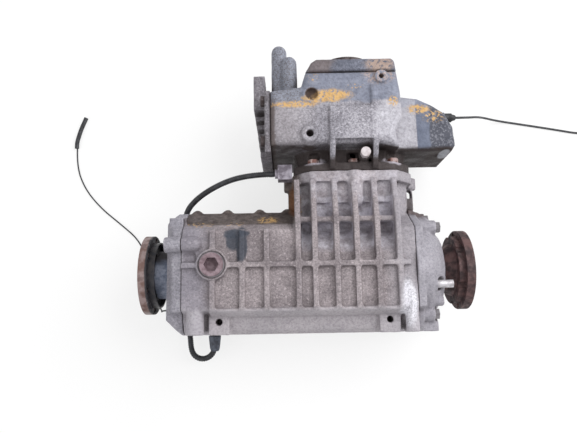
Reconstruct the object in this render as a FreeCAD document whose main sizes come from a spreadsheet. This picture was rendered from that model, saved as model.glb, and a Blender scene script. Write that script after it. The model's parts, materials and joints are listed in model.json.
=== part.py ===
import FreeCAD, Part

import math
import os

import Sketcher
from FreeCAD import Placement, Rotation, Vector

# Rear drive unit: a ribbed aluminium case with the bevel gears and the differential,
# two output flanges, and a coupling housing bolted to its neck.
# X runs along the axle, Y towards the propeller shaft and Z up, as the unit lies.

# Driving dimensions in millimetres: name, value, what it is
SIZES = [
    ("axle_y", -116.5, "axle line, along Y from the middle of the unit"),
    ("axle_height", 85, "axle line above the ground"),
    ("pinion_x", 66, "pinion axis, along X from the middle between the flanges"),
    # output flanges
    ("left_flange_gap", 5.5, "left output flange from its cover's nose"),
    ("right_flange_gap", 26.5, "right output flange from its cover"),
    ("flange_radius", 54, "output flange"),
    ("flange_thick", 11, "output flange"),
    ("flange_circle", 47, "radius of the bolt circle"),
    ("flange_hole", 5, "radius of a bolt hole"),
    ("flange_bolts", 6, "bolt holes in a flange"),
    ("flange_recess", 24, "radius of the recess in the face"),
    ("flange_recess_deep", 7, "recess in the face"),
    ("hub_radius", 20, "flange hub where the seal runs"),
    ("hub_root", 27, "cone of the right hub beside the seal"),
    ("hub_shoulder", 36, "cone of the right hub beside the flange"),
    ("hub_ring", 46.5, "raised ring behind the right flange"),
    ("shaft_radius", 12.5, "output shafts"),
    ("shield_radius", 45, "dust shield of the left flange"),
    ("shield_skirt", 8.5, "length of the dust shield's skirt"),
    # final drive case
    ("case_left", 160, "left joint face from the middle"),
    ("case_right", 140, "right joint face from the middle"),
    ("case_half", 82, "half the height of the case along Y"),
    ("case_front", 68, "front panel above the axle"),
    ("case_back", 68, "back panel below the axle"),
    ("panel_half", 51, "half the width of the front panel along Y"),
    ("rail_front", 50, "lower rail above the axle"),
    ("rib_rise", 6, "ribs above the front panel"),
    ("rib_wide", 7.5, "ribs"),
    ("main_rib_y", 2, "lower side of the long rib above the axle line"),
    ("main_rib_wide", 7, "long rib"),
    ("gear_bore", 62, "radius of the gear chamber"),
    ("gear_chamber_left", 26, "left end of the gear chamber"),
    ("shaft_bore", 54, "radius of the long shaft's chamber"),
    ("bulkhead", 18, "wall that holds the left carrier bearing"),
    ("skin", 6, "round wall that shows in the pockets"),
    ("foot_radius", 13, "bosses that the unit lies on"),
    ("thread_radius", 4.25, "tapped hole for an M10 bolt"),
    ("pad_wide", 27, "mounting pads"),
    ("pad_hole_y", -65.5, "holes in the mounting pads"),
    ("pad_hole_deep", 20, "holes in the mounting pads"),
    ("left_pad_x", -113, "left mounting pad"),
    ("right_pad_x", 105, "right mounting pad"),
    # neck
    ("neck_half", 76, "half the width of the neck"),
    ("neck_front", 50, "front of the neck above the axle"),
    ("neck_back", 62, "back of the neck below the axle"),
    ("neck_joint", 131, "joint face with the coupling housing along Y"),
    ("neck_band", 15, "band round the neck at the joint"),
    ("band_rise", 6, "band above the neck"),
    ("web_wide", 12, "web at each side of the neck"),
    ("web_thick", 14, "web at each side of the neck"),
    # end covers
    ("left_cover_long", 22, "left end cover"),
    ("right_cover_long", 42, "right end cover"),
    ("left_nose", 21, "seal nose of the left end cover"),
    ("nose_radius", 33, "seal nose of the left end cover"),
    ("seal_radius", 27, "seals of the output shafts"),
    ("seal_long", 8, "seals"),
    ("bush_long", 16, "bushes of the output shafts"),
    ("bush_wall", 4, "bushes of the output shafts"),
    # gears
    ("bevel_module", 2.9, "final drive gears at the heel"),
    ("crown_teeth", 40, "crown wheel"),
    ("pinion_teeth", 13, "drive pinion"),
    ("bevel_face", 16, "tooth length of the final drive gears"),
    ("crown_back", 33, "crown wheel's back face from the pinion axis"),
    ("crown_bore", 41, "radius of the crown wheel's bore"),
    ("crown_bolts", 8, "bolts of the crown wheel"),
    ("small_module", 3.4, "differential gears at the heel"),
    ("side_teeth", 14, "side gears"),
    ("spider_teeth", 10, "differential pinions"),
    ("side_toe", 10.6, "side gears' inner ends from the cross pin"),
    ("spider_toe", 14.8, "differential pinions' inner ends from the axle line"),
    ("side_back", 27, "side gears' backs from the cross pin"),
    ("side_flare", 25.6, "radius where the side gears' teeth end"),
    ("spider_back", 30, "differential pinions' backs from the axle line"),
    ("spider_flare", 19, "radius where the differential pinions' teeth end"),
    ("washer_thick", 1, "thrust washers"),
    ("carrier_radius", 38.5, "outside of the carrier"),
    ("trunnion", 20, "radius of the carrier's journals"),
    ("trunnion_bore", 13.5, "bore of the carrier's journals"),
    ("cross_pin_radius", 6.5, "cross pin"),
    ("bearing_radius", 31, "outside of the carrier and pinion bearings"),
    ("bearing_wide", 18, "carrier and pinion bearings"),
    ("ring_thick", 3.4, "inner and outer rings"),
    ("rollers", 12, "rollers in a bearing"),
    # pinion shaft and coupling
    ("pinion_journal", 17, "pinion journal at the head bearing"),
    ("pinion_tail", 15, "pinion journal at the tail bearing"),
    ("head_bearing_y", 64, "inner face of the head bearing along Y"),
    ("tail_bearing_y", 100, "inner face of the tail bearing along Y"),
    ("spline_radius", 12.5, "pinion shaft in the coupling hub"),
    ("drum_radius", 58, "coupling drum"),
    ("drum_low", 174, "drum's end nearest the axle along Y"),
    ("drum_long", 72, "coupling drum"),
    ("drum_wall", 4, "coupling drum"),
    ("coupling_hub_radius", 21, "coupling hub"),
    ("plate_pairs", 4, "pairs of coupling plates"),
    ("plate_thick", 2.5, "coupling plates"),
    ("input_face", 304, "face of the input flange along Y"),
    ("input_radius", 36, "input flange"),
    ("input_thick", 9, "input flange"),
    ("input_hub", 19, "hub of the input flange"),
    ("input_circle", 28, "radius of the input flange's bolt circle"),
    ("input_hole", 4.25, "radius of its bolt holes"),
    ("input_bolts", 4, "its bolt holes"),
    # coupling housing
    ("housing_front", 72, "front of the coupling housing above the axle"),
    ("housing_back", 76, "back of the coupling housing below the axle"),
    ("housing_low", 163, "lip of the coupling housing along Y"),
    ("housing_top", 266, "joint with the input cover along Y"),
    ("housing_left", 110, "left wall from the pinion axis"),
    ("housing_right", 66, "right wall from the pinion axis"),
    ("housing_bore", 62, "chamber of the coupling"),
    ("bulge_thick", 90, "side pocket at the right of the housing, along Z"),
    ("input_cover_long", 19, "input cover"),
    ("input_spot", 8, "seats of the input cover's bolts, below its face"),
    ("side_cover_thick", 8, "side cover"),
    ("fin_reach", 14, "fins of the side cover"),
    ("fin_wide", 7, "fins of the side cover"),
    ("ear_radius", 11, "tall bosses beside the side cover"),
    ("tall_ear_top", 328, "taller boss along Y"),
    ("short_ear_top", 305, "shorter boss along Y"),
    # fasteners and fittings
    ("bolt_radius", 4, "M8 bolts"),
    ("bolt_head", 7.5, "across the corners of a bolt head, halved"),
    ("bolt_head_high", 5.5, "bolt heads"),
    ("spot_deep", 10, "seats of the left cover's bolts, below its face"),
    ("bolt_gap", 0.1, "room round a bolt in its hole"),
    ("fit_gap", 0.05, "room between rings and their seats"),
    ("plug_radius", 12, "thread of the filler plug"),
    ("plug_head", 15, "head of the filler plug"),
    ("plug_key", 9.8, "across the corners of the plug's hexagon, halved"),
    ("plug_boss", 20, "boss of the filler plug"),
    ("plug_x", -120.5, "filler plug"),
    ("plug_y", 6, "filler plug"),
    ("stud_y", -22, "stud of the right end cover"),
    ("stud_z", 54, "stud of the right end cover"),
    ("stud_radius", 5, "stud of the right end cover"),
    ("stud_seat", 27, "boss of the stud, from the joint face"),
    ("stud_deep", 12, "stud's thread in the cover"),
    ("stud_reach", 21, "stud outside its boss"),
    ("finger_y", 33, "long bolt boss at the left end"),
    ("finger_z", 62, "long bolt boss at the left end"),
    ("finger_radius", 10, "long bolt boss at the left end"),
    ("lug_radius", 9.5, "bolt lugs of the right end cover"),
    ("column_z", 48, "half round columns at the ends of the rail"),
    ("left_column", 9.5, "radius of the left column"),
    ("right_column", 8, "radius of the right column"),
    ("pocket_floor", 46, "pockets of the neck, above the axle"),
    ("skirt_front", 42, "front of the skirt under the housing's lip"),
    ("sensor_x", -132.4, "sensor at the lower edge of the case"),
    ("sensor_z", -52, "sensor at the lower edge of the case"),
    ("sensor_long", 13, "sensor outside the case"),
    ("plug_start", 206, "socket's face on the coupling housing, along X"),
    ("plug_along", 219.5, "the socket along Y"),
    ("plug_high", 8, "the socket above the axle line"),
    ("plug_long", 16, "plug in the socket"),
    ("breather_x", 81, "breather"),
    ("breather_y", 151, "breather"),
    ("breather_seat", 60, "breather's seat above the axle line"),
    ("gland_y", -48, "gland of the thin lead"),
    ("gland_z", -30, "gland of the thin lead"),
    ("loom_radius", 4.2, "corrugated loom"),
    ("lead_radius", 1.1, "thin lead beside the left flange"),
    ("cable_radius", 1.7, "sensor cable at the right"),
]

doc = FreeCAD.newDocument("RearDriveUnit")
sheet = doc.addObject("Spreadsheet::Sheet", "Sizes")
parts = []


class Size:
    """A length and the sheet expression that gives it."""

    def __init__(self, value, text):
        self.value = value
        self.text = text

    def join(self, other, sign, value):
        return Size(value, f"({self.text} {sign} {as_size(other).text})")

    def __add__(self, other):
        return self.join(other, "+", self.value + as_size(other).value)

    def __sub__(self, other):
        return self.join(other, "-", self.value - as_size(other).value)

    def __mul__(self, other):
        return self.join(other, "*", self.value * as_size(other).value)

    def __truediv__(self, other):
        return self.join(other, "/", self.value / as_size(other).value)

    def __radd__(self, other):
        return as_size(other) + self

    def __rsub__(self, other):
        return as_size(other) - self

    def __rmul__(self, other):
        return as_size(other) * self

    def __neg__(self):
        return as_size(0) - self


def as_size(value):
    return value if isinstance(value, Size) else Size(float(value), repr(float(value)))


def number(value):
    return as_size(value).value


class Dimensions:
    """Every driving dimension by its name."""


dim = Dimensions()
for row, (name, value, note) in enumerate(SIZES, start=1):
    sheet.set(f"A{row}", note)
    sheet.set(f"B{row}", str(value))
    sheet.setAlias(f"B{row}", name)
    setattr(dim, name, Size(float(value), f"Sizes.{name}"))
doc.recompute()

TURNS = {
    "X": Rotation(Vector(0, 1, 0), 90),
    "Y": Rotation(Vector(1, 0, 0), -90),
    "Z": Rotation(),
}
ALONG_AXLE = Rotation()
ALONG_AXLE_LEFT = Rotation(Vector(0, 0, 1), 180)
ALONG_PINION = Rotation(Vector(0, 0, 1), 90)


# Building blocks

def place(thing, base, turn=None):
    """Put a thing at a base point that follows the sheet."""
    thing.Placement = Placement(Vector(*map(number, base)), turn or Rotation())
    for axis, value in zip("xyz", base):
        if isinstance(value, Size):
            thing.setExpression(f"Placement.Base.{axis}", value.text)
    return thing


def bind(thing, **values):
    for name, value in values.items():
        setattr(thing, name, number(value))
        if isinstance(value, Size):
            thing.setExpression(name, value.text)
    return thing


def block(name, low, high):
    """A box between two corners."""
    thing = doc.addObject("Part::Box", name)
    length, width, height = (as_size(b) - a for a, b in zip(low, high))
    bind(thing, Length=length, Width=width, Height=height)
    return place(thing, low)


def rod(name, axis, start, radius, length):
    """A cylinder from a start point along X, Y or Z."""
    thing = doc.addObject("Part::Cylinder", name)
    bind(thing, Radius=radius, Height=length)
    return place(thing, start, TURNS[axis])


def ball(name, centre, radius):
    thing = doc.addObject("Part::Sphere", name)
    bind(thing, Radius=radius)
    return place(thing, centre)


def taper(name, axis, start, radius, top_radius, length):
    thing = doc.addObject("Part::Cone", name)
    bind(thing, Radius1=radius, Radius2=top_radius, Height=length)
    return place(thing, start, TURNS[axis])


def hexagon(name, axis, start, corner_radius, length):
    thing = doc.addObject("Part::Prism", name)
    thing.Polygon = 6
    bind(thing, Circumradius=corner_radius, Height=length)
    return place(thing, start, TURNS[axis])


def joined(name, things):
    thing = doc.addObject("Part::MultiFuse", name)
    thing.Shapes = things
    thing.Refine = True
    return thing


def cut(name, base, *tools):
    thing = doc.addObject("Part::Cut", name)
    thing.Base = base
    thing.Tool = tools[0] if len(tools) == 1 else joined(name + "_tools", list(tools))
    return thing


def common(name, base, tool):
    thing = doc.addObject("Part::Common", name)
    thing.Base = base
    thing.Tool = tool
    return thing


def outline(sketch, points):
    """Draw a closed outline whose corners follow the sheet."""
    count = len(points)
    ends = [Vector(number(u), number(v), 0) for u, v in points]
    lines = [Part.LineSegment(ends[i], ends[(i + 1) % count]) for i in range(count)]
    sketch.addGeometry(lines)
    sketch.addConstraint(
        [Sketcher.Constraint("Coincident", i, 2, (i + 1) % count, 1) for i in range(count)]
    )
    for i, corner in enumerate(points):
        for kind, value in zip(("DistanceX", "DistanceY"), corner):
            at = sketch.addConstraint(Sketcher.Constraint(kind, -1, 1, i, 1, number(value)))
            if isinstance(value, Size):
                sketch.setExpression(f"Constraints[{at}]", value.text)


def body_with_sketch(name, role, points):
    body = doc.addObject("PartDesign::Body", name)
    sketch = body.newObject("Sketcher::SketchObject", name + "_outline")
    plane = next(o for o in body.Origin.OriginFeatures if o.Role == role)
    sketch.AttachmentSupport = (plane, [""])
    sketch.MapMode = "FlatFace"
    outline(sketch, points)
    return body, sketch


def turned(name, points):
    """A turned piece: points are (distance along the axis, radius)."""
    body, sketch = body_with_sketch(name, "XY_Plane", points)
    turn = body.newObject("PartDesign::Revolution", name + "_turned")
    turn.Profile = sketch
    turn.ReferenceAxis = (sketch, ["H_Axis"])
    turn.Angle = 360
    return body


ACROSS_X_Y_Z = ["YZ_Plane", "XZ_Plane", "XY_Plane"]


def padded(name, role, points, start, length):
    """An outline padded along the plane's axis, from start."""
    body, sketch = body_with_sketch(name, role, points)
    pad = body.newObject("PartDesign::Pad", name + "_pad")
    pad.Profile = sketch
    pad.Reversed = role == "XZ_Plane"
    bind(pad, Length=length)
    base = [0, 0, 0]
    base[ACROSS_X_Y_Z.index(role)] = start
    return place(body, base)


def rounded(body, radius, chosen):
    """Round the edges of a body's last feature that the chooser picks."""
    doc.recompute()
    feature = body.Tip
    edges = [
        f"Edge{i}"
        for i, edge in enumerate(feature.Shape.Edges, start=1)
        if chosen(edge)
    ]
    fillet = body.newObject("PartDesign::Fillet", body.Name + "_round")
    fillet.Base = (feature, edges)
    bind(fillet, Radius=radius)
    return body


def runs_along(axis):
    """Picks straight edges that run along one axis."""

    def chosen(edge):
        box = edge.BoundBox
        spans = {"X": box.XLength, "Y": box.YLength, "Z": box.ZLength}
        return all(spans[a] < 1e-4 for a in spans if a != axis)

    return chosen


def lies_at(axis, level):
    """Picks edges that lie in one plane across an axis."""

    def chosen(edge):
        box = edge.BoundBox
        low, high = {"X": (box.XMin, box.XMax), "Y": (box.YMin, box.YMax), "Z": (box.ZMin, box.ZMax)}[axis]
        return abs(low - level) < 1e-4 and abs(high - level) < 1e-4

    return chosen


def node(thing, label, base=None, turn=None):
    """A finished sub-part, moved from the axle's own frame to the unit's."""
    x, y, z = base or (0, 0, 0)
    place(thing, (x, y + dim.axle_y, z + dim.axle_height), turn)
    thing.Label = label
    parts.append(thing)
    return thing


def grouped(label, things, base=None, turn=None):
    """Like pieces that share one file."""
    group = doc.addObject("Part::Compound", label + "_group")
    group.Links = things
    return node(group, label, base, turn)


def made(label, shape, base=None, turn=None):
    """A sub-part whose shape is worked out by a function below."""
    thing = doc.addObject("Part::Feature", label)
    thing.Shape = shape
    return node(thing, label, base, turn)


AT_PINION = (dim.pinion_x, 0, 0)


def round_pattern(count, radius, offset=0.0):
    """Places on a circle round X: (y, z, angle)."""
    for i in range(int(number(count))):
        angle = 2 * math.pi * (i + offset) / int(number(count))
        yield radius * math.cos(angle), radius * math.sin(angle), math.degrees(angle)


# Bevel gears

PRESSURE = math.radians(22.5)
SMALL_PRESSURE = math.radians(25)
BACKLASH = 0.3


def tooth_outline(teeth, mate, module, addendum, dedendum, pressure, start, steps=3):
    """The gear's outline on a plane across its axis, as points scaled to distance 1."""
    cone = math.atan2(teeth, mate)
    pitch = module * teeth / 2
    reach = pitch / math.sin(cone)
    virtual = pitch / math.cos(cone)
    base = virtual * math.cos(pressure)
    half = (math.pi * module / 2 - BACKLASH) / 2 / virtual

    def involute(radius):
        angle = math.acos(min(1.0, base / radius))
        return math.tan(angle) - angle

    low, high = virtual - dedendum, virtual + addendum
    first = max(low, base)
    radii = [first + (high - first) * k / steps for k in range(steps + 1)]
    if low < base:
        radii.insert(0, low)
    flank = []
    for radius in radii:
        turn = half + involute(virtual) - involute(max(radius, base))
        flank.append((radius, max(turn, 0.12 * half)))
    points = []
    for k in range(teeth):
        middle = 2 * math.pi * (k + start) / teeth
        for radius, turn in [(r, -a) for r, a in flank] + [(r, a) for r, a in reversed(flank)]:
            along = reach / math.cos(cone) - radius * math.sin(cone)
            out = radius * math.cos(cone) / along
            angle = middle + turn / math.cos(cone)
            points.append((out * math.cos(angle), out * math.sin(angle)))
    return points


def toothed_cone(points, near, far):
    """The solid between two distances along X, with the outline growing from the apex."""
    ends = [[Vector(x, x * y, x * z) for y, z in points] for x in (near, far)]
    faces = [Part.Face(Part.makePolygon(end + end[:1])) for end in ends]
    count = len(points)
    for k in range(count):
        following = (k + 1) % count
        corners = [ends[0][k], ends[0][following], ends[1][following], ends[1][k]]
        faces.append(Part.Face(Part.makePolygon(corners + corners[:1])))
    solid = Part.makeSolid(Part.makeShell(faces))
    if solid.Volume < 0:
        solid.reverse()
    return solid


def ring(low, high, inner, outer):
    axis = Vector(1, 0, 0)
    solid = Part.makeCylinder(outer, high - low, Vector(low, 0, 0), axis)
    return solid.cut(Part.makeCylinder(inner, high - low + 2, Vector(low - 1, 0, 0), axis))


def crown_wheel():
    module = number(dim.bevel_module)
    teeth, mate = int(number(dim.crown_teeth)), int(number(dim.pinion_teeth))
    points = tooth_outline(teeth, mate, module, 0.6 * module, 1.45 * module, PRESSURE, 0.5, 1)
    back = number(dim.crown_back)
    heel = module * teeth / 2 + 0.9
    blank = ring(module * mate / 2 - 3 * module, back, number(dim.crown_bore), heel)
    wheel = blank.common(toothed_cone(points, 6, back + 1))
    for y, z, _ in round_pattern(dim.crown_bolts, crown_bolt_circle()):
        wheel = wheel.cut(bolt_hole(back - 11, 12, y, z))
    return wheel


def crown_bolt_circle():
    return number(dim.crown_bore) + 8.5


def bolt_hole(start, length, y, z):
    radius = number(dim.bolt_radius + dim.bolt_gap)
    return Part.makeCylinder(radius, length, Vector(start, y, z), Vector(1, 0, 0))


def disc(low, high, radius):
    return Part.makeCylinder(radius, high - low, Vector(low, 0, 0), Vector(1, 0, 0))


def drive_pinion():
    module = number(dim.bevel_module)
    teeth, mate = int(number(dim.pinion_teeth)), int(number(dim.crown_teeth))
    points = tooth_outline(teeth, mate, module, 1.2 * module, 0.85 * module, PRESSURE, 0.5)
    heel = module * mate / 2 + 1.4
    toe = heel - number(dim.bevel_face)
    journal, tail, spline = map(number, (dim.pinion_journal, dim.pinion_tail, dim.spline_radius))
    head_start = number(dim.head_bearing_y)
    head_end = head_start + number(dim.bearing_wide)
    nut_end = number(dim.neck_joint) + 2
    end = number(dim.drum_low + dim.drum_long) - 16
    steps = [
        (heel, head_start, journal + 3),
        (head_start, head_end, journal),
        (head_end, nut_end, tail),
        (nut_end, end, spline),
    ]
    shaft = toothed_cone(points, toe, heel)
    for low, high, radius in steps:
        shaft = shaft.fuse(disc(low, high, radius))
    return shaft.removeSplitter()


def differential_gear(teeth, mate, bore, start, toe, flare, hub, back):
    """A straight bevel gear: its teeth end at the flare radius and its hub runs to a flat back."""
    module = number(dim.small_module)
    points = tooth_outline(teeth, mate, module, 0.8 * module, 1.05 * module, SMALL_PRESSURE, start, 2)
    cone = math.atan2(teeth, mate)
    reach = math.hypot(module * teeth / 2, module * mate / 2)
    root = math.tan(cone - math.atan(1.05 * module / reach))
    hub_start = hub / root
    gear = toothed_cone(points, toe, hub_start + 0.5).common(disc(toe - 1, back, flare))
    gear = gear.fuse(disc(hub_start, back, hub)).cut(disc(0, back + 1, bore))
    return gear.removeSplitter()


def round_about_x(angle):
    return Rotation(Vector(1, 0, 0), angle)


# Final drive case

def case_section():
    half, front, back = dim.case_half, dim.case_front, dim.case_back
    panel, rail = dim.panel_half, dim.rail_front
    return [
        (-half, -back + 38),
        (-half, rail - 14),
        (-half + 5, rail - 5),
        (-panel - 12, rail + 1),
        (-panel - 5, rail + 2),
        (-panel, front),
        (panel, front),
        (panel + 8, front - 12),
        (half, front - 48),
        (half, -back + 38),
        (panel, -back),
        (-panel, -back),
    ]


def neck_section(rise):
    half, front, back = dim.neck_half + rise, dim.neck_front + rise, dim.neck_back + rise
    middle = dim.pinion_x
    return [
        (middle - half, -back + 20),
        (middle - half + 20, -back),
        (middle + half - 20, -back),
        (middle + half, -back + 20),
        (middle + half, front - 24),
        (middle + half - 24, front),
        (middle - half + 24, front),
        (middle - half, front - 24),
    ]


FRONT_RIBS = (-76.5, -55, -27, -1, 25.5, 52)
LEFT_RIBS = (-120, -82, -51)


def case_ribs():
    """The ribs that stand on the front panel."""
    top = dim.case_front + dim.rib_rise
    half = dim.rib_wide / 2
    ribs = [
        block(
            "main_rib",
            (-dim.case_left, dim.main_rib_y, dim.case_front - 6),
            (dim.case_right - 8, dim.main_rib_y + dim.main_rib_wide, top),
        )
    ]
    for i, x in enumerate(LEFT_RIBS):
        ribs.append(
            block(
                f"left_rib_{i}",
                (x - half, -dim.panel_half, dim.case_front - 4),
                (x + half, dim.panel_half, top),
            )
        )
    for i, x in enumerate(FRONT_RIBS):
        middle = dim.pinion_x + x
        ribs.append(
            block(
                f"lower_rib_{i}",
                (middle - half, -dim.panel_half, dim.case_front - 4),
                (middle + half, dim.main_rib_y + 2, top),
            )
        )
        ribs.append(neck_rib(f"neck_rib_{i}", middle - half))
    low = dim.panel_half
    ledge = [
        (-low + 3, dim.case_front - 4),
        (-low + 2, top - 2),
        (-low - 2, top - 2),
        (-low - 8, dim.rail_front + 8),
        (-low - 9, dim.rail_front - 2),
        (-low, dim.rail_front - 2),
    ]
    start = LEFT_RIBS[0] - half
    ribs.append(padded("ledge", "YZ_Plane", ledge, start, dim.pinion_x + FRONT_RIBS[-1] + half - start))
    return ribs


def neck_rib(name, x):
    """A tall rib from the long rib up to the band of the neck."""
    top, low, joint = dim.case_front + dim.rib_rise, dim.neck_front, dim.neck_joint
    side = [
        (dim.main_rib_y, low - 4),
        (dim.main_rib_y, top),
        (dim.panel_half + 9, top),
        (joint - 34, low + 14),
        (joint - 12, low + 9),
        (joint - 12, low - 6),
        (joint - 60, low - 14),
        (dim.panel_half, low - 14),
    ]
    return padded(name, "YZ_Plane", side, x, dim.rib_wide)


def pocket_tools():
    """The deep pockets between the neck ribs, which stop at the round walls of the chambers."""
    half = dim.rib_wide / 2
    tools = []
    ends = [(dim.pinion_x + x) for x in FRONT_RIBS]
    for i, (left, right) in enumerate(zip(ends, ends[1:])):
        for part, low, high in (("low", 12, 60), ("high", 67, 88)):
            tools.append(
                block(
                    f"pocket_{part}_{i}",
                    (left + half, low, dim.pocket_floor),
                    (right - half, high, dim.case_front + 20),
                )
            )
    wall = rod(
        "pocket_floor",
        "X",
        (dim.gear_chamber_left - 50, 0, 0),
        dim.gear_bore + dim.skin,
        dim.case_right + 60,
    )
    return cut("pockets", joined("pocket_blocks", tools), wall)


def column(name, x, radius, height):
    """A half round column on the rail, with a domed top."""
    low = -dim.case_half
    return [
        rod(name, "Y", (x, low, dim.column_z), radius, height),
        taper(name + "_tip", "Y", (x, height + low, dim.column_z), radius, radius * 0.5, radius * 0.8),
    ]


def tapped_column(name, x, y, low, high, radius):
    return rod(name, "Z", (x, y, low), radius, as_size(high) - low)


def final_drive_case():
    barrel = padded(
        "barrel", "YZ_Plane", case_section(), -dim.case_left, dim.case_left + dim.case_right
    )
    rounded(barrel, 2.5, runs_along("X"))
    neck = padded("neck", "XZ_Plane", neck_section(0), 30, dim.neck_joint - 30)
    rounded(neck, 10, runs_along("Y"))
    band = padded(
        "neck_band", "XZ_Plane", neck_section(dim.band_rise), dim.neck_joint - dim.neck_band, dim.neck_band
    )
    rounded(band, 10, runs_along("Y"))
    front = dim.case_front + dim.rib_rise
    reach = dim.neck_half + dim.web_wide
    finger_y, finger_z, finger = dim.finger_y, dim.finger_z, dim.finger_radius
    solids = [barrel, neck, band, *case_ribs()]
    solids += [
        rod("plug_boss", "Z", (dim.plug_x, dim.plug_y, 50), dim.plug_boss, front - 50 + 2),
        # boss of the middle bolt, down the front of the neck
        rod("middle_boss", "Y", (dim.pinion_x + 2, 92, dim.neck_front - 4), 10, dim.neck_joint - 92),
        block(
            "cross_band",
            (dim.pinion_x + FRONT_RIBS[0], 60, 30),
            (dim.pinion_x + FRONT_RIBS[-1], 67, dim.case_front - 2),
        ),
        # webs that carry the joint beside the neck
        block(
            "web",
            (dim.pinion_x - reach, 74, -dim.web_thick / 2),
            (dim.pinion_x + reach, dim.neck_joint, dim.web_thick / 2),
        ),
        rod("web_boss_right", "Y", (dim.pinion_x + reach - 3, dim.neck_joint - 16, 0), 9, 16),
        rod("web_boss_left", "Y", (dim.pinion_x - reach + 3, dim.neck_joint - 16, 0), 9, 16),
        rod("web_lump", "Y", (dim.pinion_x - reach + 16, 91, 12), 7, 24),
        # long bolt boss, corner block and half round columns at the left end
        rod("left_finger", "X", (-dim.case_left, finger_y, finger_z), finger, 16),
        taper("left_finger_tip", "X", (16 - dim.case_left, finger_y, finger_z), finger, finger - 4, 5),
        block("corner_lug", (-dim.case_left, 54, 20), (4 - dim.case_left, 70, dim.case_front - 12)),
        *column("left_column", 17 - dim.case_left, dim.left_column, 36),
        *column("right_column", dim.case_right - 8, dim.right_column, 46),
    ]
    solids.append(rod("sensor_boss", "Y", (dim.sensor_x, -dim.case_half, dim.sensor_z), 12, 26))
    for side, x in (("left", dim.left_pad_x), ("right", dim.right_pad_x)):
        half = dim.pad_wide / 2
        solids += [
            block(
                f"{side}_pad",
                (x - half, -dim.case_half, 10),
                (x + half, -dim.panel_half - 2, dim.rail_front + 5),
            ),
            tapped_column(f"{side}_foot", x, -60, -dim.axle_height, -40, dim.foot_radius),
        ]
    for i, x in enumerate((-148, -106, -62, -24)):
        solids.append(rod(f"rim_boss_{i}", "Z", (x, dim.case_half - 3, -26), 8, 46))
    outside = joined("case_outside", solids)
    joint = dim.neck_joint
    inside = [
        rod(
            "gear_chamber",
            "X",
            (dim.gear_chamber_left, 0, 0),
            dim.gear_bore,
            dim.case_right - dim.gear_chamber_left + 1,
        ),
        rod(
            "shaft_chamber",
            "X",
            (-dim.case_left - 1, 0, 0),
            dim.shaft_bore,
            dim.case_left + 1 + dim.gear_chamber_left - dim.bulkhead,
        ),
        rod(
            "carrier_seat",
            "X",
            (dim.gear_chamber_left - dim.bulkhead - 1, 0, 0),
            dim.bearing_radius + dim.fit_gap,
            dim.bulkhead + 2,
        ),
        rod(
            "head_seat",
            "Y",
            (dim.pinion_x, 40, 0),
            dim.bearing_radius + dim.fit_gap,
            dim.head_bearing_y + dim.bearing_wide - 40,
        ),
        rod("pinion_way", "Y", (dim.pinion_x, 70, 0), dim.bearing_radius - 6, 50),
        rod(
            "tail_seat",
            "Y",
            (dim.pinion_x, dim.tail_bearing_y, 0),
            dim.bearing_radius + dim.fit_gap,
            joint - dim.tail_bearing_y + 1,
        ),
        block("core_left", (dim.pinion_x - 68, 80, -50), (dim.pinion_x - 38, joint + 1, 26)),
        block("core_right", (dim.pinion_x + 38, 80, -50), (dim.pinion_x + 68, joint + 1, 26)),
        rod("web_slot_low", "Z", (dim.pinion_x + reach - 6, 105, -20), 4, 40),
        rod("web_slot_high", "Z", (dim.pinion_x + reach - 6, 109, -20), 4, 40),
        # shallow recess beside the plug
        block("small_recess", (2 - dim.case_left, 11, dim.case_front - 3), (19 - dim.case_left, 21, front + 9)),
        rod("plug_hole", "Z", (dim.plug_x, dim.plug_y, 20), dim.plug_radius + dim.fit_gap, 90),
        rod("plug_groove", "Z", (dim.plug_x, dim.plug_y, front - 0.5), dim.plug_boss - 2.5, 10),
        rod("drain_hole", "Z", (20, -30, -dim.case_back - 1), 9 + dim.fit_gap, 40),
        rod("dowel_hole", "Z", (57, joint - 6, dim.neck_front - 8), 2.5, 30),
        rod("sensor_hole", "Y", (dim.sensor_x, -dim.case_half - 1, dim.sensor_z), 7 + dim.fit_gap, 30),
        # the right cover's own space beside the neck
        block("cover_room", (dim.case_right, -100, -100), (dim.case_right + 50, dim.case_half + 2, 100)),
        pocket_tools(),
    ]
    for side, x in (("left", dim.left_pad_x), ("right", dim.right_pad_x)):
        inside.append(
            rod(
                f"{side}_pad_hole",
                "Z",
                (x, dim.pad_hole_y, dim.rail_front + 5 - dim.pad_hole_deep),
                dim.thread_radius,
                dim.pad_hole_deep + 20,
            )
        )
    hole = dim.bolt_radius + dim.bolt_gap
    for i, (x, z) in enumerate(neck_bolt_places()):
        inside.append(rod(f"neck_thread_{i}", "Y", (x, joint - 22, z), hole, 23))
    for i, (y, z) in enumerate(LEFT_BOLTS):
        inside.append(rod(f"left_thread_{i}", "X", (-dim.case_left - 1, y, z), hole, 21))
    for i, (y, z, _) in enumerate(RIGHT_BOLTS):
        inside.append(rod(f"right_thread_{i}", "X", (dim.case_right - 20, y, z), hole, 21))
    node(cut("case_casting", outside, *inside), "final_drive_case")


def neck_bolt_places():
    """(x, z) of the six bolts that hold the coupling housing on the neck."""
    for x in (-53, 2, 55):
        yield dim.pinion_x + x, dim.neck_front - 6
        yield dim.pinion_x + x, -dim.neck_back + 9


# (y, z) of the left cover's bolts; (y, z, seat from the joint) of the right cover's
LEFT_BOLTS = ((dim.finger_y, dim.finger_z), (70, 6), (56, -42), (-62, 32), (-70, -6), (-52, -46))
RIGHT_BOLTS = (
    (53, 45, 32),
    (70, 2, 28),
    (56, -42, 14),
    (-60, 37, 26),
    (-70, -6, 24),
    (-52, -48, 14),
)


# Joints between castings carry short hexagon bolts

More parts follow.
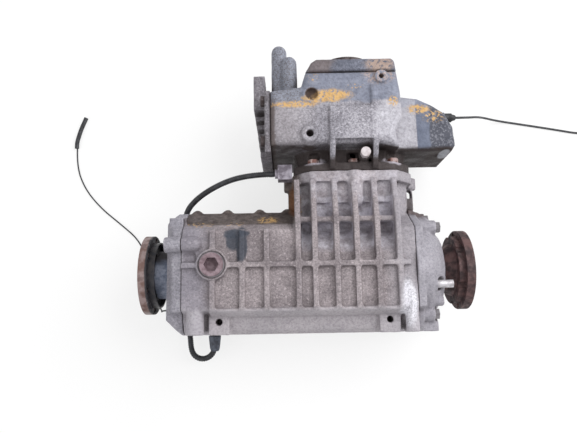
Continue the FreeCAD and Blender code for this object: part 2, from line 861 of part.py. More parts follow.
def bolt(name, axis, start, grip, reverse=False):
    """A bolt whose head seats at start and whose shank points back along the axis."""
    step = -1 if reverse else 1
    x, y, z = start
    shift = {"X": (1, 0, 0), "Y": (0, 1, 0), "Z": (0, 0, 1)}[axis]
    tail = as_size(grip) if not reverse else as_size(0)
    head_at = as_size(0) if step > 0 else -dim.bolt_head_high
    shank_start = tuple(a - tail * s for a, s in zip((x, y, z), shift))
    head_start = tuple(a + head_at * s for a, s in zip((x, y, z), shift))
    return joined(
        name,
        [
            rod(name + "_shank", axis, shank_start, dim.bolt_radius, as_size(grip) + 1 if step > 0 else grip),
            hexagon(name + "_head", axis, head_start, dim.bolt_head, dim.bolt_head_high),
        ],
    )


# End covers of the case

def left_end_cover():
    near, far = dim.case_left, dim.case_left + dim.left_cover_long
    half, front, back = dim.case_half, dim.case_front, dim.case_back
    slab = padded("left_cover_slab", "YZ_Plane", case_section(), -far, dim.left_cover_long)
    plan = padded(
        "left_cover_plan",
        "XY_Plane",
        [
            (-near, -half),
            (-near - 3, -half),
            (-far, -half + 20),
            (-far, half - 15),
            (-near - 13, half),
            (-near, half),
        ],
        -back,
        back + front + 20,
    )
    bevel = padded(
        "left_cover_bevel",
        "XZ_Plane",
        [
            (-near, 2 - back),
            (-far, 6 - back),
            (-far, front - 18),
            (-near - 13, front - 5),
            (-near, front - 2),
        ],
        -half,
        2 * half,
    )
    trimmed = common("left_cover_trim", common("left_cover_outline", slab, plan), bevel)
    finger = (-far, dim.finger_y, dim.finger_z)
    solids = [
        trimmed,
        rod("left_finger_end", "X", finger, dim.finger_radius, dim.left_cover_long),
        block("left_corner_lug", (-near - 19, 54, 20), (-near, 70, front - 12)),
        rod("left_nose", "X", (-far - dim.left_nose, 0, 0), dim.nose_radius, dim.left_nose + 4),
    ]
    nose = far + dim.left_nose
    seat = dim.seal_long + 1
    bush = dim.shaft_radius + dim.bush_wall + dim.fit_gap
    holes = [
        rod("left_seal_seat", "X", (-nose - 1, 0, 0), dim.seal_radius + dim.fit_gap, seat + 1),
        rod("left_bush_seat", "X", (-nose, 0, 0), bush, nose - near),
        rod("left_cover_hollow", "X", (-near - 8, 0, 0), dim.shaft_bore - 10, 9),
    ]
    for i, (y, z) in enumerate(LEFT_BOLTS):
        holes.append(rod(f"left_hole_{i}", "X", (-far - 1, y, z), dim.bolt_radius + dim.bolt_gap, 30))
        room = 0.5 if i == 0 else 1.5
        holes.append(rod(f"left_spot_{i}", "X", (-far - 6, y, z), dim.bolt_head + room, 6 + dim.spot_deep))
    node(cut("left_cover_casting", joined("left_cover_outside", solids), *holes), "left_end_cover")


def right_end_cover():
    near, far = dim.case_right, dim.case_right + dim.right_cover_long
    half = dim.case_half
    inner = dim.pinion_x + dim.crown_back + 11
    boss = dim.bearing_radius
    dome = turned(
        "right_cover_dome",
        [
            (inner, 0),
            (inner, boss + 7),
            (near - 6, boss + 7),
            (near, boss + 13),
            (near, half - 9),
            (near + 20, half - 12),
            (far - 9, half - 24),
            (far, half - 36),
            (far, 0),
        ],
    )
    flange = padded("right_cover_flange", "YZ_Plane", case_section(), near, 10)
    shoulder = padded(
        "right_cover_shoulder",
        "XY_Plane",
        [
            (near, 38),
            (near + 34, 38),
            (near + 34, 62),
            (near + 14, half - 6),
            (near, half - 2),
        ],
        -36,
        68,
    )
    solids = [
        dome,
        flange,
        shoulder,
        block("right_cover_toe", (near, -half, -40), (near + 31, -half + 30, 36)),
        rod("right_stud_boss", "X", (near, dim.stud_y, dim.stud_z), dim.stud_radius + 4, dim.stud_seat),
        rod("right_plain_lug", "X", (near + 10, -43, 40), 7, 28),
    ]
    for i, (y, z, seat) in enumerate(RIGHT_BOLTS):
        solids.append(rod(f"right_lug_{i}", "X", (near, y, z), dim.lug_radius, seat))
    bush = dim.shaft_radius + dim.bush_wall + dim.fit_gap
    seat_end = far - dim.seal_long - 1
    holes = [
        rod("right_seal_seat", "X", (seat_end, 0, 0), dim.seal_radius + dim.fit_gap, 20),
        rod("right_bush_seat", "X", (inner, 0, 0), bush, seat_end - inner),
        rod("right_oil_space", "X", (inner, 0, 0), boss - 8, seat_end - dim.bush_long - inner),
        rod("right_bearing_seat", "X", (inner - 1, 0, 0), boss + dim.fit_gap, dim.bearing_wide + 1),
        rod(
            "stud_hole",
            "X",
            (near + dim.stud_seat - dim.stud_deep, dim.stud_y, dim.stud_z),
            dim.stud_radius + dim.fit_gap,
            dim.stud_deep + 1,
        ),
        rod(
            "stud_way",
            "X",
            (near + dim.stud_seat, dim.stud_y, dim.stud_z),
            dim.stud_radius + 4,
            dim.stud_reach,
        ),
    ]
    for i, (y, z, seat) in enumerate(RIGHT_BOLTS):
        holes.append(rod(f"right_hole_{i}", "X", (near - 1, y, z), dim.bolt_radius + dim.bolt_gap, 60))
        holes.append(rod(f"right_spot_{i}", "X", (near + seat, y, z), dim.bolt_head + 1.5, 50))
    node(cut("right_cover_casting", joined("right_cover_outside", solids), *holes), "right_end_cover")


def cover_bolts():
    seat = dim.left_cover_long - dim.spot_deep
    left = [
        bolt(f"left_cover_bolt_{i}", "X", (-dim.case_left - seat, y, z), seat + 18, reverse=True)
        for i, (y, z) in enumerate(LEFT_BOLTS)
    ]
    right = [
        bolt(f"right_cover_bolt_{i}", "X", (dim.case_right + seat_at, y, z), seat_at + 18)
        for i, (y, z, seat_at) in enumerate(RIGHT_BOLTS)
    ]
    grouped("left_cover_bolts", left)
    grouped("right_cover_bolts", right)
    start = dim.case_right + dim.stud_seat - dim.stud_deep
    stud = rod("stud", "X", (0, 0, 0), dim.stud_radius, dim.stud_deep + dim.stud_reach)
    node(stud, "right_cover_stud", (start, dim.stud_y, dim.stud_z), TURNS["X"])


# Coupling housing

def coupling_housing():
    middle = dim.pinion_x
    left, right = middle - dim.housing_left, middle + dim.housing_right
    low, top, joint = dim.housing_low, dim.housing_top, dim.neck_joint
    front, back = dim.housing_front, dim.housing_back
    shell = padded(
        "housing_shell",
        "XY_Plane",
        [
            (left, low + 1),
            (left + 12, low),
            (middle - 34, low + 2),
            (middle + 28, low + 2),
            (right - 5, low - 5),
            (right - 9, low + 18),
            (right + 1, low + 36),
            (right, top - 30),
            (right - 4, top),
            (middle - 62, top),
            (middle - 68, top - 20),
            (left, top - 26),
        ],
        -back,
        front + back,
    )
    rounded(shell, 9, lies_at("Z", number(front + back)))
    skirt = lofted(
        "housing_skirt",
        flare_section(dim.neck_half - 4, dim.neck_front - 6, dim.neck_back - 4),
        joint + 8,
        flare_section(dim.housing_right + 14, dim.skirt_front, back - 2),
        low + 8,
    )
    flange = padded("housing_flange", "XZ_Plane", neck_section(dim.band_rise - 2), joint, 12)
    rounded(flange, 10, runs_along("Y"))
    bulge = padded(
        "housing_bulge",
        "XY_Plane",
        [
            (right - 20, low - 3),
            (right + 72, low - 3),
            (right + 77, low + 5),
            (right + 75, low + 32),
            (right + 64, low + 52),
            (right + 48, low + 63),
            (right + 28, low + 73),
            (right - 20, low + 80),
        ],
        -44,
        number(dim.bulge_thick),
    )
    rounded(bulge, 8, lies_at("Z", number(dim.bulge_thick)))
    solids = [shell, skirt, flange, bulge]
    for side, x, rise in (("left", middle - 28, 50), ("right", middle + 29, 80)):
        solids.append(gusset(f"{side}_gusset", x - dim.rib_wide / 2, low + rise))
    solids += [
        # raised panel between the gussets
        block("raised_panel", (middle - 31, low + 6, front - 8), (middle + 26, low + 52, front + 4)),
        # tall bosses beside the side cover
        *ear("tall_ear", left + dim.ear_radius + 1.2, 22, low + 20, dim.tall_ear_top),
        *ear("short_ear", left + 2.4 * dim.ear_radius, 34, low + 20, dim.short_ear_top),
        # drilled bosses
        rod("front_boss", "Z", (middle + 40, top - 10, front - 12), 9, 16),
        taper("drilled_boss", "Z", (middle - 58, low + 14, front - 20), 18, 11, 24),
        rod("core_plug_boss", "Z", (middle - 54, top - 33, front - 14), 12, 15.5),
        rod("tip_boss", "Y", (right + 63, low - 5, 16), 8, 12),
        rod("middle_boss_end", "Y", (middle + 2, joint, dim.neck_front - 4), 10, 12),
        rod("lead_socket", "X", (dim.plug_start - 26, dim.plug_along, dim.plug_high), 8, 26),
        rod("breather_boss", "Z", (dim.breather_x, dim.breather_y, 30), 8, dim.breather_seat - 30),
    ]
    foot = dim.foot_radius
    for side, x in (("left", middle - 62), ("right", middle + 56)):
        solids.append(tapped_column(f"housing_{side}_foot", x, top - 26, -dim.axle_height, -60, foot))
    outside = joined("housing_outside", solids)
    inside = [
        rod("coupling_chamber", "Y", (middle, dim.drum_low - 2, 0), dim.housing_bore, top - dim.drum_low + 12),
        rod("joint_way", "Y", (middle, joint - 1, 0), dim.bearing_radius + 4, 60),
        block("side_chamber", (left - 1, low + 16, -48), (middle - 50, top - 44, 44)),
        rod("front_boss_hole", "Z", (middle + 40, top - 10, front - 8), 3.4, 20),
        rod("drilled_hole", "Z", (middle - 58, low + 14, front - 12), 5, 30),
        rod("core_plug_hole", "Z", (middle - 54, top - 33, front - 6), 8, 30),
    ]
    for i, (x, z) in enumerate(neck_bolt_places()):
        inside.append(rod(f"neck_hole_{i}", "Y", (x, joint - 1, z), dim.bolt_radius + dim.bolt_gap, 16))
        inside.append(rod(f"neck_spot_{i}", "Y", (x, joint + 12, z), dim.bolt_head + 2, 16))
    for i, (x, z) in enumerate(input_cover_bolt_places()):
        inside.append(rod(f"input_thread_{i}", "Y", (x, top - 18, z), dim.bolt_radius + dim.bolt_gap, 19))
    for i, (y, z) in enumerate(side_cover_bolt_places()):
        inside.append(rod(f"side_thread_{i}", "X", (left - 1, y, z), dim.bolt_radius + dim.bolt_gap, 16))
    node(cut("housing_casting", outside, *inside), "coupling_housing")


def ear(name, x, z, low, top):
    """A tall boss that narrows a little towards its rounded tip."""
    radius = dim.ear_radius
    return [
        taper(name, "Y", (x, low, z), radius + 1, radius, top - radius - low),
        ball(name + "_tip", (x, top - radius, z), radius),
    ]


def flare_section(half, front, back):
    middle = dim.pinion_x
    return [
        (middle - half, -back + 18),
        (middle - half + 18, -back),
        (middle + half - 18, -back),
        (middle + half, -back + 18),
        (middle + half, front - 22),
        (middle + half - 22, front),
        (middle - half + 22, front),
        (middle - half, front - 22),
    ]


def lofted(name, first, first_at, last, last_at):
    """A straight-sided loft between two outlines across Y."""
    sketches = []
    for end, points, at in (("near", first, first_at), ("far", last, last_at)):
        sketch = doc.addObject("Sketcher::SketchObject", f"{name}_{end}")
        outline(sketch, points)
        place(sketch, (0, at, 0), Rotation(Vector(1, 0, 0), 90))
        sketches.append(sketch)
    loft = doc.addObject("Part::Loft", name)
    loft.Sections = sketches
    loft.Solid = True
    loft.Ruled = True
    return loft


def gusset(name, x, end):
    """A rib from the raised panel down the skirt to the joint flange."""
    low, joint, front = dim.housing_low, dim.neck_joint, dim.housing_front
    side = [
        (joint + 2, dim.neck_front - 4),
        (joint + 2, dim.neck_front + 8),
        (low - 2, front + 3),
        (end, front + 3),
        (end, front - 6),
        (low, front - 20),
        (joint + 14, dim.neck_front - 16),
    ]
    return padded(name, "YZ_Plane", side, x, dim.rib_wide)


def input_cover_bolt_places():
    """(x, z) of the input cover's bolts."""
    for x in (-44, 48):
        for z in (-54, 52):
            yield dim.pinion_x + x, z


def side_cover_bolt_places():
    """(y, z) of the side cover's bolts."""
    for y in (dim.housing_low + 10, dim.housing_top - 36):
        for z in (-60, 56):
            yield y, z


def input_cover():
    middle, low = dim.pinion_x, dim.housing_top
    front, back = dim.housing_front - 2, dim.housing_back - 2
    top = low + dim.input_cover_long
    plate = padded(
        "input_plate",
        "XY_Plane",
        [
            (middle - 62, low),
            (middle + 62, low),
            (middle + 60, top - 4),
            (middle + 56, top),
            (middle - 47, top),
            (middle - 54, top - 5),
        ],
        -back,
        back + front,
    )
    rounded(plate, 5, lies_at("Z", number(back + front)))
    boss = taper("input_boss", "Y", (middle, low, 0), 40, 30, dim.input_cover_long + 4)
    holes = [
        rod("input_seat", "Y", (middle, low - 1, 0), dim.input_hub + 11 + dim.fit_gap, 13),
        rod("input_way", "Y", (middle, low, 0), dim.input_hub + 2, 50),
        rod("input_seal_seat", "Y", (middle, top - 4, 0), dim.input_hub + 7 + dim.fit_gap, 20),
    ]
    for i, (x, z) in enumerate(input_cover_bolt_places()):
        holes.append(rod(f"input_hole_{i}", "Y", (x, low - 1, z), dim.bolt_radius + dim.bolt_gap, 40))
        holes.append(rod(f"input_spot_{i}", "Y", (x, top - dim.input_spot, z), dim.bolt_head + 1.5, 20))
    node(cut("input_casting", joined("input_outside", [plate, boss]), *holes), "input_cover")


def side_cover():
    left = dim.pinion_x - dim.housing_left
    low, top = dim.housing_low, dim.housing_top - 24
    face = left - dim.side_cover_thick
    plate = block("side_plate", (face, low - 8, -dim.housing_back + 8), (left, top, dim.housing_front - 6))
    solids = [plate]
    for i in range(5):
        y = low - 8 + i * 14
        reach = face - dim.fin_reach * (0.5 + 0.125 * i)
        solids.append(block(f"fin_{i}", (reach, y, -40 + 4 * i), (face, y + dim.fin_wide, 44 - 3 * i)))
    corner = (face - dim.fin_reach - 2, top - 18, -34)
    solids.append(block("side_block", corner, (face, top + 33, 40)))
    outside = joined("side_outside", solids)
    holes = []
    for i, (y, z) in enumerate(side_cover_bolt_places()):
        holes.append(rod(f"side_hole_{i}", "X", (left - 30, y, z), dim.bolt_radius + dim.bolt_gap, 31))
        holes.append(rod(f"side_spot_{i}", "X", (face - 30, y, z), dim.bolt_head + 2, 30))
    node(cut("side_casting", outside, *holes), "coupling_side_cover")


def housing_bolts():
    joint, top = dim.neck_joint, dim.housing_top + dim.input_cover_long - dim.input_spot
    grouped(
        "neck_bolts",
        [bolt(f"neck_bolt_{i}", "Y", (x, joint + 12, z), 30) for i, (x, z) in enumerate(neck_bolt_places())],
    )
    places = enumerate(input_cover_bolt_places())
    grouped("input_cover_bolts", [bolt(f"input_bolt_{i}", "Y", (x, top, z), 28) for i, (x, z) in places])
    left = dim.pinion_x - dim.housing_left - dim.side_cover_thick
    grouped(
        "side_cover_bolts",
        [
            bolt(f"side_bolt_{i}", "X", (left, y, z), 20, reverse=True)
            for i, (y, z) in enumerate(side_cover_bolt_places())
        ],
    )


# Bearings, bushes and seals

def outer_ring(name, start):
    outer, wide = dim.bearing_radius, dim.bearing_wide
    inner = outer - dim.ring_thick
    return turned(name, [(start, inner), (start, outer), (start + wide, outer), (start + wide, inner)])


def inner_ring(start, bore):
    """An inner ring with its rollers, which stand out of it like flutes."""
    bore = number(bore + dim.fit_gap)
    low, high = number(start), number(start + dim.bearing_wide)
    edge = bore + number(dim.ring_thick)
    race = number(dim.bearing_radius - dim.ring_thick) - 0.3
    count = int(number(dim.rollers))
    points = []
    for i in range(count):
        for radius, share in ((edge, 0.0), (edge, 0.2), (race, 0.36), (race, 0.84)):
            angle = 2 * math.pi * (i + share) / count
            points.append(Vector(low + 1.5, radius * math.cos(angle), radius * math.sin(angle)))
    face = Part.Face(Part.makePolygon(points + points[:1]))
    rollers = face.extrude(Vector(high - low - 3, 0, 0))
    return rollers.fuse(disc(low, high, edge)).cut(disc(low - 1, high + 1, bore))


def bearings():
    left_start = dim.gear_chamber_left - dim.bulkhead - dim.pinion_x
    right_start = dim.crown_back + 11
    head, tail = dim.head_bearing_y, dim.tail_bearing_y
    grouped(
        "carrier_bearing_outer_rings",
        [outer_ring("left_outer_ring", left_start), outer_ring("right_outer_ring", right_start)],
        AT_PINION,
    )
    grouped(
        "pinion_bearing_outer_rings",
        [outer_ring("head_outer_ring", head), outer_ring("tail_outer_ring", tail)],
        AT_PINION,
        ALONG_PINION,
    )
    carrier_rings = [inner_ring(left_start, dim.trunnion), inner_ring(right_start, dim.trunnion)]
    made("carrier_bearing_inner_rings", Part.makeCompound(carrier_rings), AT_PINION)
    pinion_rings = [inner_ring(head, dim.pinion_journal), inner_ring(tail, dim.pinion_tail)]
    made("pinion_bearing_inner_rings", Part.makeCompound(pinion_rings), AT_PINION, ALONG_PINION)


def sleeve(name, low, high, inner, outer):
    return turned(name, [(low, inner), (low, outer), (high, outer), (high, inner)])


def plain_ring(label, low, high, inner, outer, base=None, turn=None):
    node(sleeve(label + "_turned", low, high, inner, outer), label, base, turn)


def bushes_and_seals():
    bore, outer = dim.shaft_radius + dim.fit_gap, dim.shaft_radius + dim.bush_wall
    left_far = dim.case_left + dim.left_cover_long + dim.left_nose - dim.seal_long - 1
    right_far = dim.case_right + dim.right_cover_long - dim.seal_long - 1
    left = sleeve("left_bush", left_far - dim.bush_long - 4, left_far - 4, bore, outer)
    right = sleeve("right_bush", right_far - dim.bush_long, right_far, bore, outer)
    place(left, (0, 0, 0), ALONG_AXLE_LEFT)
    grouped("shaft_bushes", [left, right])
    hub = dim.hub_radius + dim.fit_gap * 2
    left = sleeve("left_seal", left_far + 0.5, left_far + 0.5 + dim.seal_long, hub, dim.seal_radius)
    right = sleeve("right_seal", right_far + 0.5, right_far + 0.5 + dim.seal_long, hub, dim.seal_radius)
    place(left, (0, 0, 0), ALONG_AXLE_LEFT)
    grouped("shaft_seals", [left, right])
    seat = dim.housing_top
    hub = dim.input_hub + dim.fit_gap * 2
    plain_ring("input_bearing", seat, seat + 11, hub, dim.input_hub + 11, AT_PINION, ALONG_PINION)
    top = seat + dim.input_cover_long - 4
    plain_ring("input_seal", top + 0.3, top + 7.3, hub, dim.input_hub + 7, AT_PINION, ALONG_PINION)


# Output flanges and shafts

def flange_backs():
    """The backs of the left and the right flange, outwards from the middle."""
    left = dim.case_left + dim.left_cover_long + dim.left_nose + dim.left_flange_gap
    right = dim.case_right + dim.right_cover_long + dim.right_flange_gap
    return left, right


def flange_shaft(label, turn, back, hub_points, hub_start, shaft_end):
    """A flange, its hub and its shaft, forged in one piece."""
    face, radius = back + dim.flange_thick, dim.flange_radius
    points = [
        (shaft_end, 0),
        (shaft_end, dim.shaft_radius - 1.5),
        (shaft_end + 17.6, dim.shaft_radius - 1.5),
        (shaft_end + 17.6, dim.shaft_radius),
        (hub_start, dim.shaft_radius),
        (hub_start, dim.hub_radius),
        *hub_points,
        (back, radius),
        (face, radius),
        (face, dim.flange_recess),
        (face - dim.flange_recess_deep, dim.flange_recess - 2),
        (face - dim.flange_recess_deep, 0),
    ]
    body = turned(label + "_turned", points)
    doc.recompute()
    sketch = body.newObject("Sketcher::SketchObject", label + "_hole")
    plane = next(o for o in body.Origin.OriginFeatures if o.Role == "YZ_Plane")
    sketch.AttachmentSupport = (plane, [""])
    sketch.MapMode = "FlatFace"
    hole_at = Vector(number(dim.flange_circle), 0, 0)
    sketch.addGeometry(Part.Circle(hole_at, Vector(0, 0, 1), number(dim.flange_hole)))
    radius_at = sketch.addConstraint(Sketcher.Constraint("Radius", 0, number(dim.flange_hole)))
    sketch.setExpression(f"Constraints[{radius_at}]", dim.flange_hole.text)
    across = sketch.addConstraint(Sketcher.Constraint("DistanceX", -1, 1, 0, 3, number(dim.flange_circle)))
    sketch.setExpression(f"Constraints[{across}]", dim.flange_circle.text)
    sketch.addConstraint(Sketcher.Constraint("PointOnObject", 0, 3, -1))
    pocket = body.newObject("PartDesign::Pocket", label + "_bolt_hole")
    pocket.Profile = sketch
    pocket.Type = "Length"
    pocket.Reversed = True
    bind(pocket, Length=face + 5)
    doc.recompute()
    pattern = body.newObject("PartDesign::PolarPattern", label + "_bolt_holes")
    pattern.Originals = [pocket]
    pattern.Axis = (sketch, ["N_Axis"])
    pattern.Angle = 360
    pattern.Occurrences = int(number(dim.flange_bolts))
    body.Tip = pattern
    node(body, label, (0, 0, 0), turn)


def output_flanges():
    left_back, right_back = flange_backs()
    left_seal = dim.case_left + dim.left_cover_long + dim.left_nose - dim.seal_long
    right_seal = dim.case_right + dim.right_cover_long - dim.seal_long
    flange_shaft(
        "left_output_flange",
        ALONG_AXLE_LEFT,
        left_back,
        [(left_back, dim.hub_radius)],
        left_seal,
        gear_seat(-1),
    )
    flange_shaft(
        "right_output_flange",
        ALONG_AXLE,
        right_back,
        [
            (right_seal + dim.seal_long + 1.5, dim.hub_radius),
            (right_seal + dim.seal_long + 1.5, dim.hub_root),
            (right_back - 8, dim.hub_shoulder),
            (right_back - 8, dim.hub_ring),
            (right_back, dim.hub_ring),
        ],
        right_seal,
        gear_seat(1),
    )
    skirt = dim.shield_skirt
    shield = turned(
        "dust_shield_turned",
        [
            (left_back - 2.5, dim.hub_radius + dim.fit_gap),
            (left_back - 0.1, dim.hub_radius + dim.fit_gap),
            (left_back - 0.1, dim.shield_radius),
            (left_back - skirt, dim.shield_radius),
            (left_back - skirt, dim.shield_radius - 2),
            (left_back - 2.5, dim.shield_radius - 2),
        ],
    )
    node(shield, "left_dust_shield", (0, 0, 0), ALONG_AXLE_LEFT)


def gear_seat(side):
    """Where an output shaft ends inside its side gear, outwards from the middle."""
    return 9.5 + side * dim.pinion_x


# Differential carrier

def carrier():
    back = dim.crown_back
    outer = turned(
        "carrier_turned",
        [
            (-58, dim.trunnion_bore),
            (-58, dim.trunnion),
            (-dim.carrier_radius - 1.5, dim.trunnion),
            (-dim.carrier_radius - 1.5, dim.trunnion + 4.5),
            (-32, dim.trunnion + 5),
            (-24, dim.carrier_radius - 6),
            (-14, dim.carrier_radius),
            (18, dim.carrier_radius),
            (18, dim.crown_bore - dim.fit_gap),
            (back, dim.crown_bore - dim.fit_gap),
            (back, dim.crown_bore + 13),
            (back + 8, dim.crown_bore + 13),
            (back + 8, dim.trunnion + 4.5),
            (back + 10.5, dim.trunnion + 4.5),
            (back + 10.5, dim.trunnion),
            (back + 30, dim.trunnion),
            (back + 30, dim.trunnion_bore),
        ],
    )
    side_room = dim.side_back + dim.washer_thick + 0.2
    spider_room = dim.spider_back + dim.washer_thick + 0.2
    pin = dim.cross_pin_radius + dim.fit_gap
    hollow = [
        rod("side_gear_room", "X", (-side_room, 0, 0), dim.side_flare + 0.6, side_room * 2),
        rod("spider_room", "Z", (0, 0, -spider_room), dim.spider_flare + 0.6, spider_room * 2),
        block("carrier_window", (-15, -60, -14), (13, 60, 14)),
        rod("cross_pin_way", "Z", (0, 0, -60), pin, 120),
    ]
    for i, (y, z, _) in enumerate(round_pattern(dim.crown_bolts, crown_bolt_circle())):
        hole = dim.bolt_radius + dim.bolt_gap
        hollow.append(rod(f"crown_hole_{i}", "X", (back - 1, y, z), hole, 12))
    node(cut("carrier_machined", outer, *hollow), "differential_carrier", AT_PINION)
    heads = [
        bolt(f"crown_bolt_{i}", "X", (back + 8, y, z), 17)
        for i, (y, z, _) in enumerate(round_pattern(dim.crown_bolts, crown_bolt_circle()))
    ]
    grouped("crown_wheel_bolts", heads, AT_PINION)
    made("crown_wheel", crown_wheel(), AT_PINION)
    pin = rod("cross_pin_rod", "Z", (0, 0, 0), dim.cross_pin_radius, 2 * dim.carrier_radius - 2)
    node(pin, "cross_pin", (dim.pinion_x, 0, 1 - dim.carrier_radius), TURNS["Z"])


def differential_gears():
    side, spider = int(number(dim.side_teeth)), int(number(dim.spider_teeth))
    bore = number(dim.shaft_radius + dim.fit_gap) - 1.5
    pin = number(dim.cross_pin_radius) + 0.1
    toe, flare, back = map(number, (dim.side_toe, dim.side_flare, dim.side_back))
    side_gear = differential_gear(side, spider, bore, 0.0, toe, flare, 23, back)
    toe, flare, back = map(number, (dim.spider_toe, dim.spider_flare, dim.spider_back))
    small_gear = differential_gear(spider, side, pin, 0.0, toe, flare, 15, back)
    # a side gear has a tooth, and a differential pinion a gap, in the plane of both axes
    to_right = round_about_x(90)
    to_left = ALONG_AXLE_LEFT * to_right
    upwards, downwards = Rotation(Vector(0, 1, 0), -90), Rotation(Vector(0, 1, 0), 90)
    made("right_side_gear", side_gear, AT_PINION, to_right)
    made("left_side_gear", side_gear, AT_PINION, to_left)
    made("upper_differential_pinion", small_gear, AT_PINION, upwards)
    made("lower_differential_pinion", small_gear, AT_PINION, downwards)
    thick = dim.washer_thick
    for label, start, inner, outer, turns in (
        ("side_gear_washers", dim.side_back + 0.1, dim.trunnion_bore, 24, (ALONG_AXLE, ALONG_AXLE_LEFT)),
        ("pinion_washers", dim.spider_back + 0.1, pin, 18, (upwards, downwards)),
    ):
        washers = []
        for i, turn in enumerate(turns):
            washer = sleeve(f"{label}_{i}", start, start + thick, inner, outer)
            washers.append(place(washer, (0, 0, 0), turn))
        grouped(label, washers, AT_PINION)


# Pinion shaft and viscous coupling

def pinion_group():
    made("drive_pinion", drive_pinion(), AT_PINION, ALONG_PINION)
    tail = dim.pinion_tail + dim.fit_gap
    plain_ring(
        "pinion_spacer",
        dim.head_bearing_y + dim.bearing_wide + 0.05,
        dim.tail_bearing_y - 0.05,
        tail,
        dim.pinion_tail + 4,
        AT_PINION,
        ALONG_PINION,
    )
    low = dim.tail_bearing_y + dim.bearing_wide + 0.1
    nut = cut(
        "pinion_nut_cut",
        hexagon("pinion_nut_blank", "X", (low, 0, 0), 24, 11),
        rod("pinion_nut_hole", "X", (low - 1, 0, 0), tail, 20),
    )
    node(nut, "pinion_nut", AT_PINION, ALONG_PINION)


def coupling_plate(name, start, inner, outer):
    """A thin plate whose rim has straight facets, as a toothed plate's envelope."""
    disc_blank = doc.addObject("Part::Prism", name + "_blank")
    disc_blank.Polygon = 36
    bind(disc_blank, Circumradius=outer, Height=dim.plate_thick)
    place(disc_blank, (start, 0, 0), TURNS["X"])
    return cut(name, disc_blank, rod(name + "_hole", "X", (start - 1, 0, 0), inner, dim.plate_thick + 2))


def coupling():
    low, high = dim.drum_low, dim.drum_low + dim.drum_long
    wall, outer, hub = dim.drum_wall, dim.drum_radius, dim.coupling_hub_radius
    end = dim.housing_top - 3
    drum = turned(
        "drum_turned",
        [
            (low, outer - wall),
            (low, outer),
            (high, outer),
            (high + 4, outer - 5),
            (high + 4, dim.input_hub + 8),
            (end, dim.input_hub + 5),
            (end, dim.input_hub + dim.fit_gap),
            (high - 6, dim.input_hub + dim.fit_gap),
            (high - 6, hub + 4),
            (high - wall, hub + 4),
            (high - wall, outer - wall),
        ],
    )
    node(drum, "coupling_drum", AT_PINION, ALONG_PINION)
    cover = turned(
        "drum_cover_turned",
        [
            (low + 0.5, hub + 0.3),
            (low + 0.5, outer - wall - 0.1),
            (low + 0.5 + wall, outer - wall - 0.1),
            (low + 0.5 + wall, hub + 0.3),
        ],
    )
    node(cover, "coupling_drum_cover", AT_PINION, ALONG_PINION)
    hub_end = high - 16
    bore = dim.spline_radius + dim.fit_gap
    plain_ring("coupling_hub", low - 4, hub_end, bore, hub, AT_PINION, ALONG_PINION)
    count = int(number(dim.plate_pairs))
    pitch = (dim.drum_long - 30) / count
    inner, outer_plates = [], []
    for i in range(count):
        start = low + 9 + pitch * i
        inner.append(coupling_plate(f"inner_plate_{i}", start, hub + dim.fit_gap, outer - wall - 4))
        start = start + pitch / 2
        outer_plates.append(coupling_plate(f"outer_plate_{i}", start, hub + 3, outer - wall - 0.1))
    grouped("inner_coupling_plates", inner, AT_PINION, ALONG_PINION)
    grouped("outer_coupling_plates", outer_plates, AT_PINION, ALONG_PINION)
    flange = turned(
        "input_flange_turned",
        [
            (high - 4, 0),
            (high - 4, dim.input_hub),
            (dim.input_face - dim.input_thick - 3, dim.input_hub),
            (dim.input_face - dim.input_thick, dim.input_hub + 4),
            (dim.input_face - dim.input_thick, dim.input_radius),
            (dim.input_face, dim.input_radius),
            (dim.input_face, 20),
            (dim.input_face - 5, 18),
            (dim.input_face - 5, 0),
        ],
    )
    place(flange, (0, 0, 0))
    holes = [
        rod(f"input_flange_hole_{i}", "X", (dim.input_face - 20, y, z), dim.input_hole, 40)
        for i, (y, z, _) in enumerate(round_pattern(dim.input_bolts, number(dim.input_circle), 0.5))
    ]
    node(cut("input_flange_drilled", flange, *holes), "input_flange", AT_PINION, ALONG_PINION)


# Plugs, breather, sensors

def fittings():
    front = dim.case_front + dim.rib_rise - 0.5
    plug = cut(
        "filler_plug_cut",
        joined(
            "filler_plug_solid",
            [
                rod("filler_thread", "Z", (dim.plug_x, dim.plug_y, front - 14), dim.plug_radius, 16),
                rod("filler_head", "Z", (dim.plug_x, dim.plug_y, front + 1.5), dim.plug_head, 4),
            ],
        ),
        hexagon("filler_key", "Z", (dim.plug_x, dim.plug_y, front - 5), dim.plug_key, 20),
    )
    node(plug, "filler_plug")
    washer = cut(
        "filler_washer_cut",
        rod("filler_washer_disc", "Z", (dim.plug_x, dim.plug_y, front), dim.plug_head + 1.5, 1.5),
        rod("filler_washer_hole", "Z", (dim.plug_x, dim.plug_y, front - 1), dim.plug_radius + 0.2, 5),
    )
    node(washer, "filler_plug_washer")
    low = -dim.case_back
    drain = joined(
        "drain_plug_solid",
        [
            rod("drain_thread", "Z", (20, -30, low), 9, 12),
            rod("drain_collar", "Z", (20, -30, low - 2), 12, 2),
            hexagon("drain_head", "Z", (20, -30, low - 8), 9.8, 6),
        ],
    )
    node(drain, "drain_plug")
    breather = joined(
        "breather_solid",
        [
            hexagon("breather_hex", "Z", (0, 0, 0), 6, 4),
            rod("breather_neck", "Z", (0, 0, 4), 3, 3),
            rod("breather_dome", "Z", (0, 0, 6), 6.5, 8),
        ],
    )
    node(breather, "breather_cap", (dim.breather_x, dim.breather_y, dim.breather_seat))


# Loom, leads and what is on them

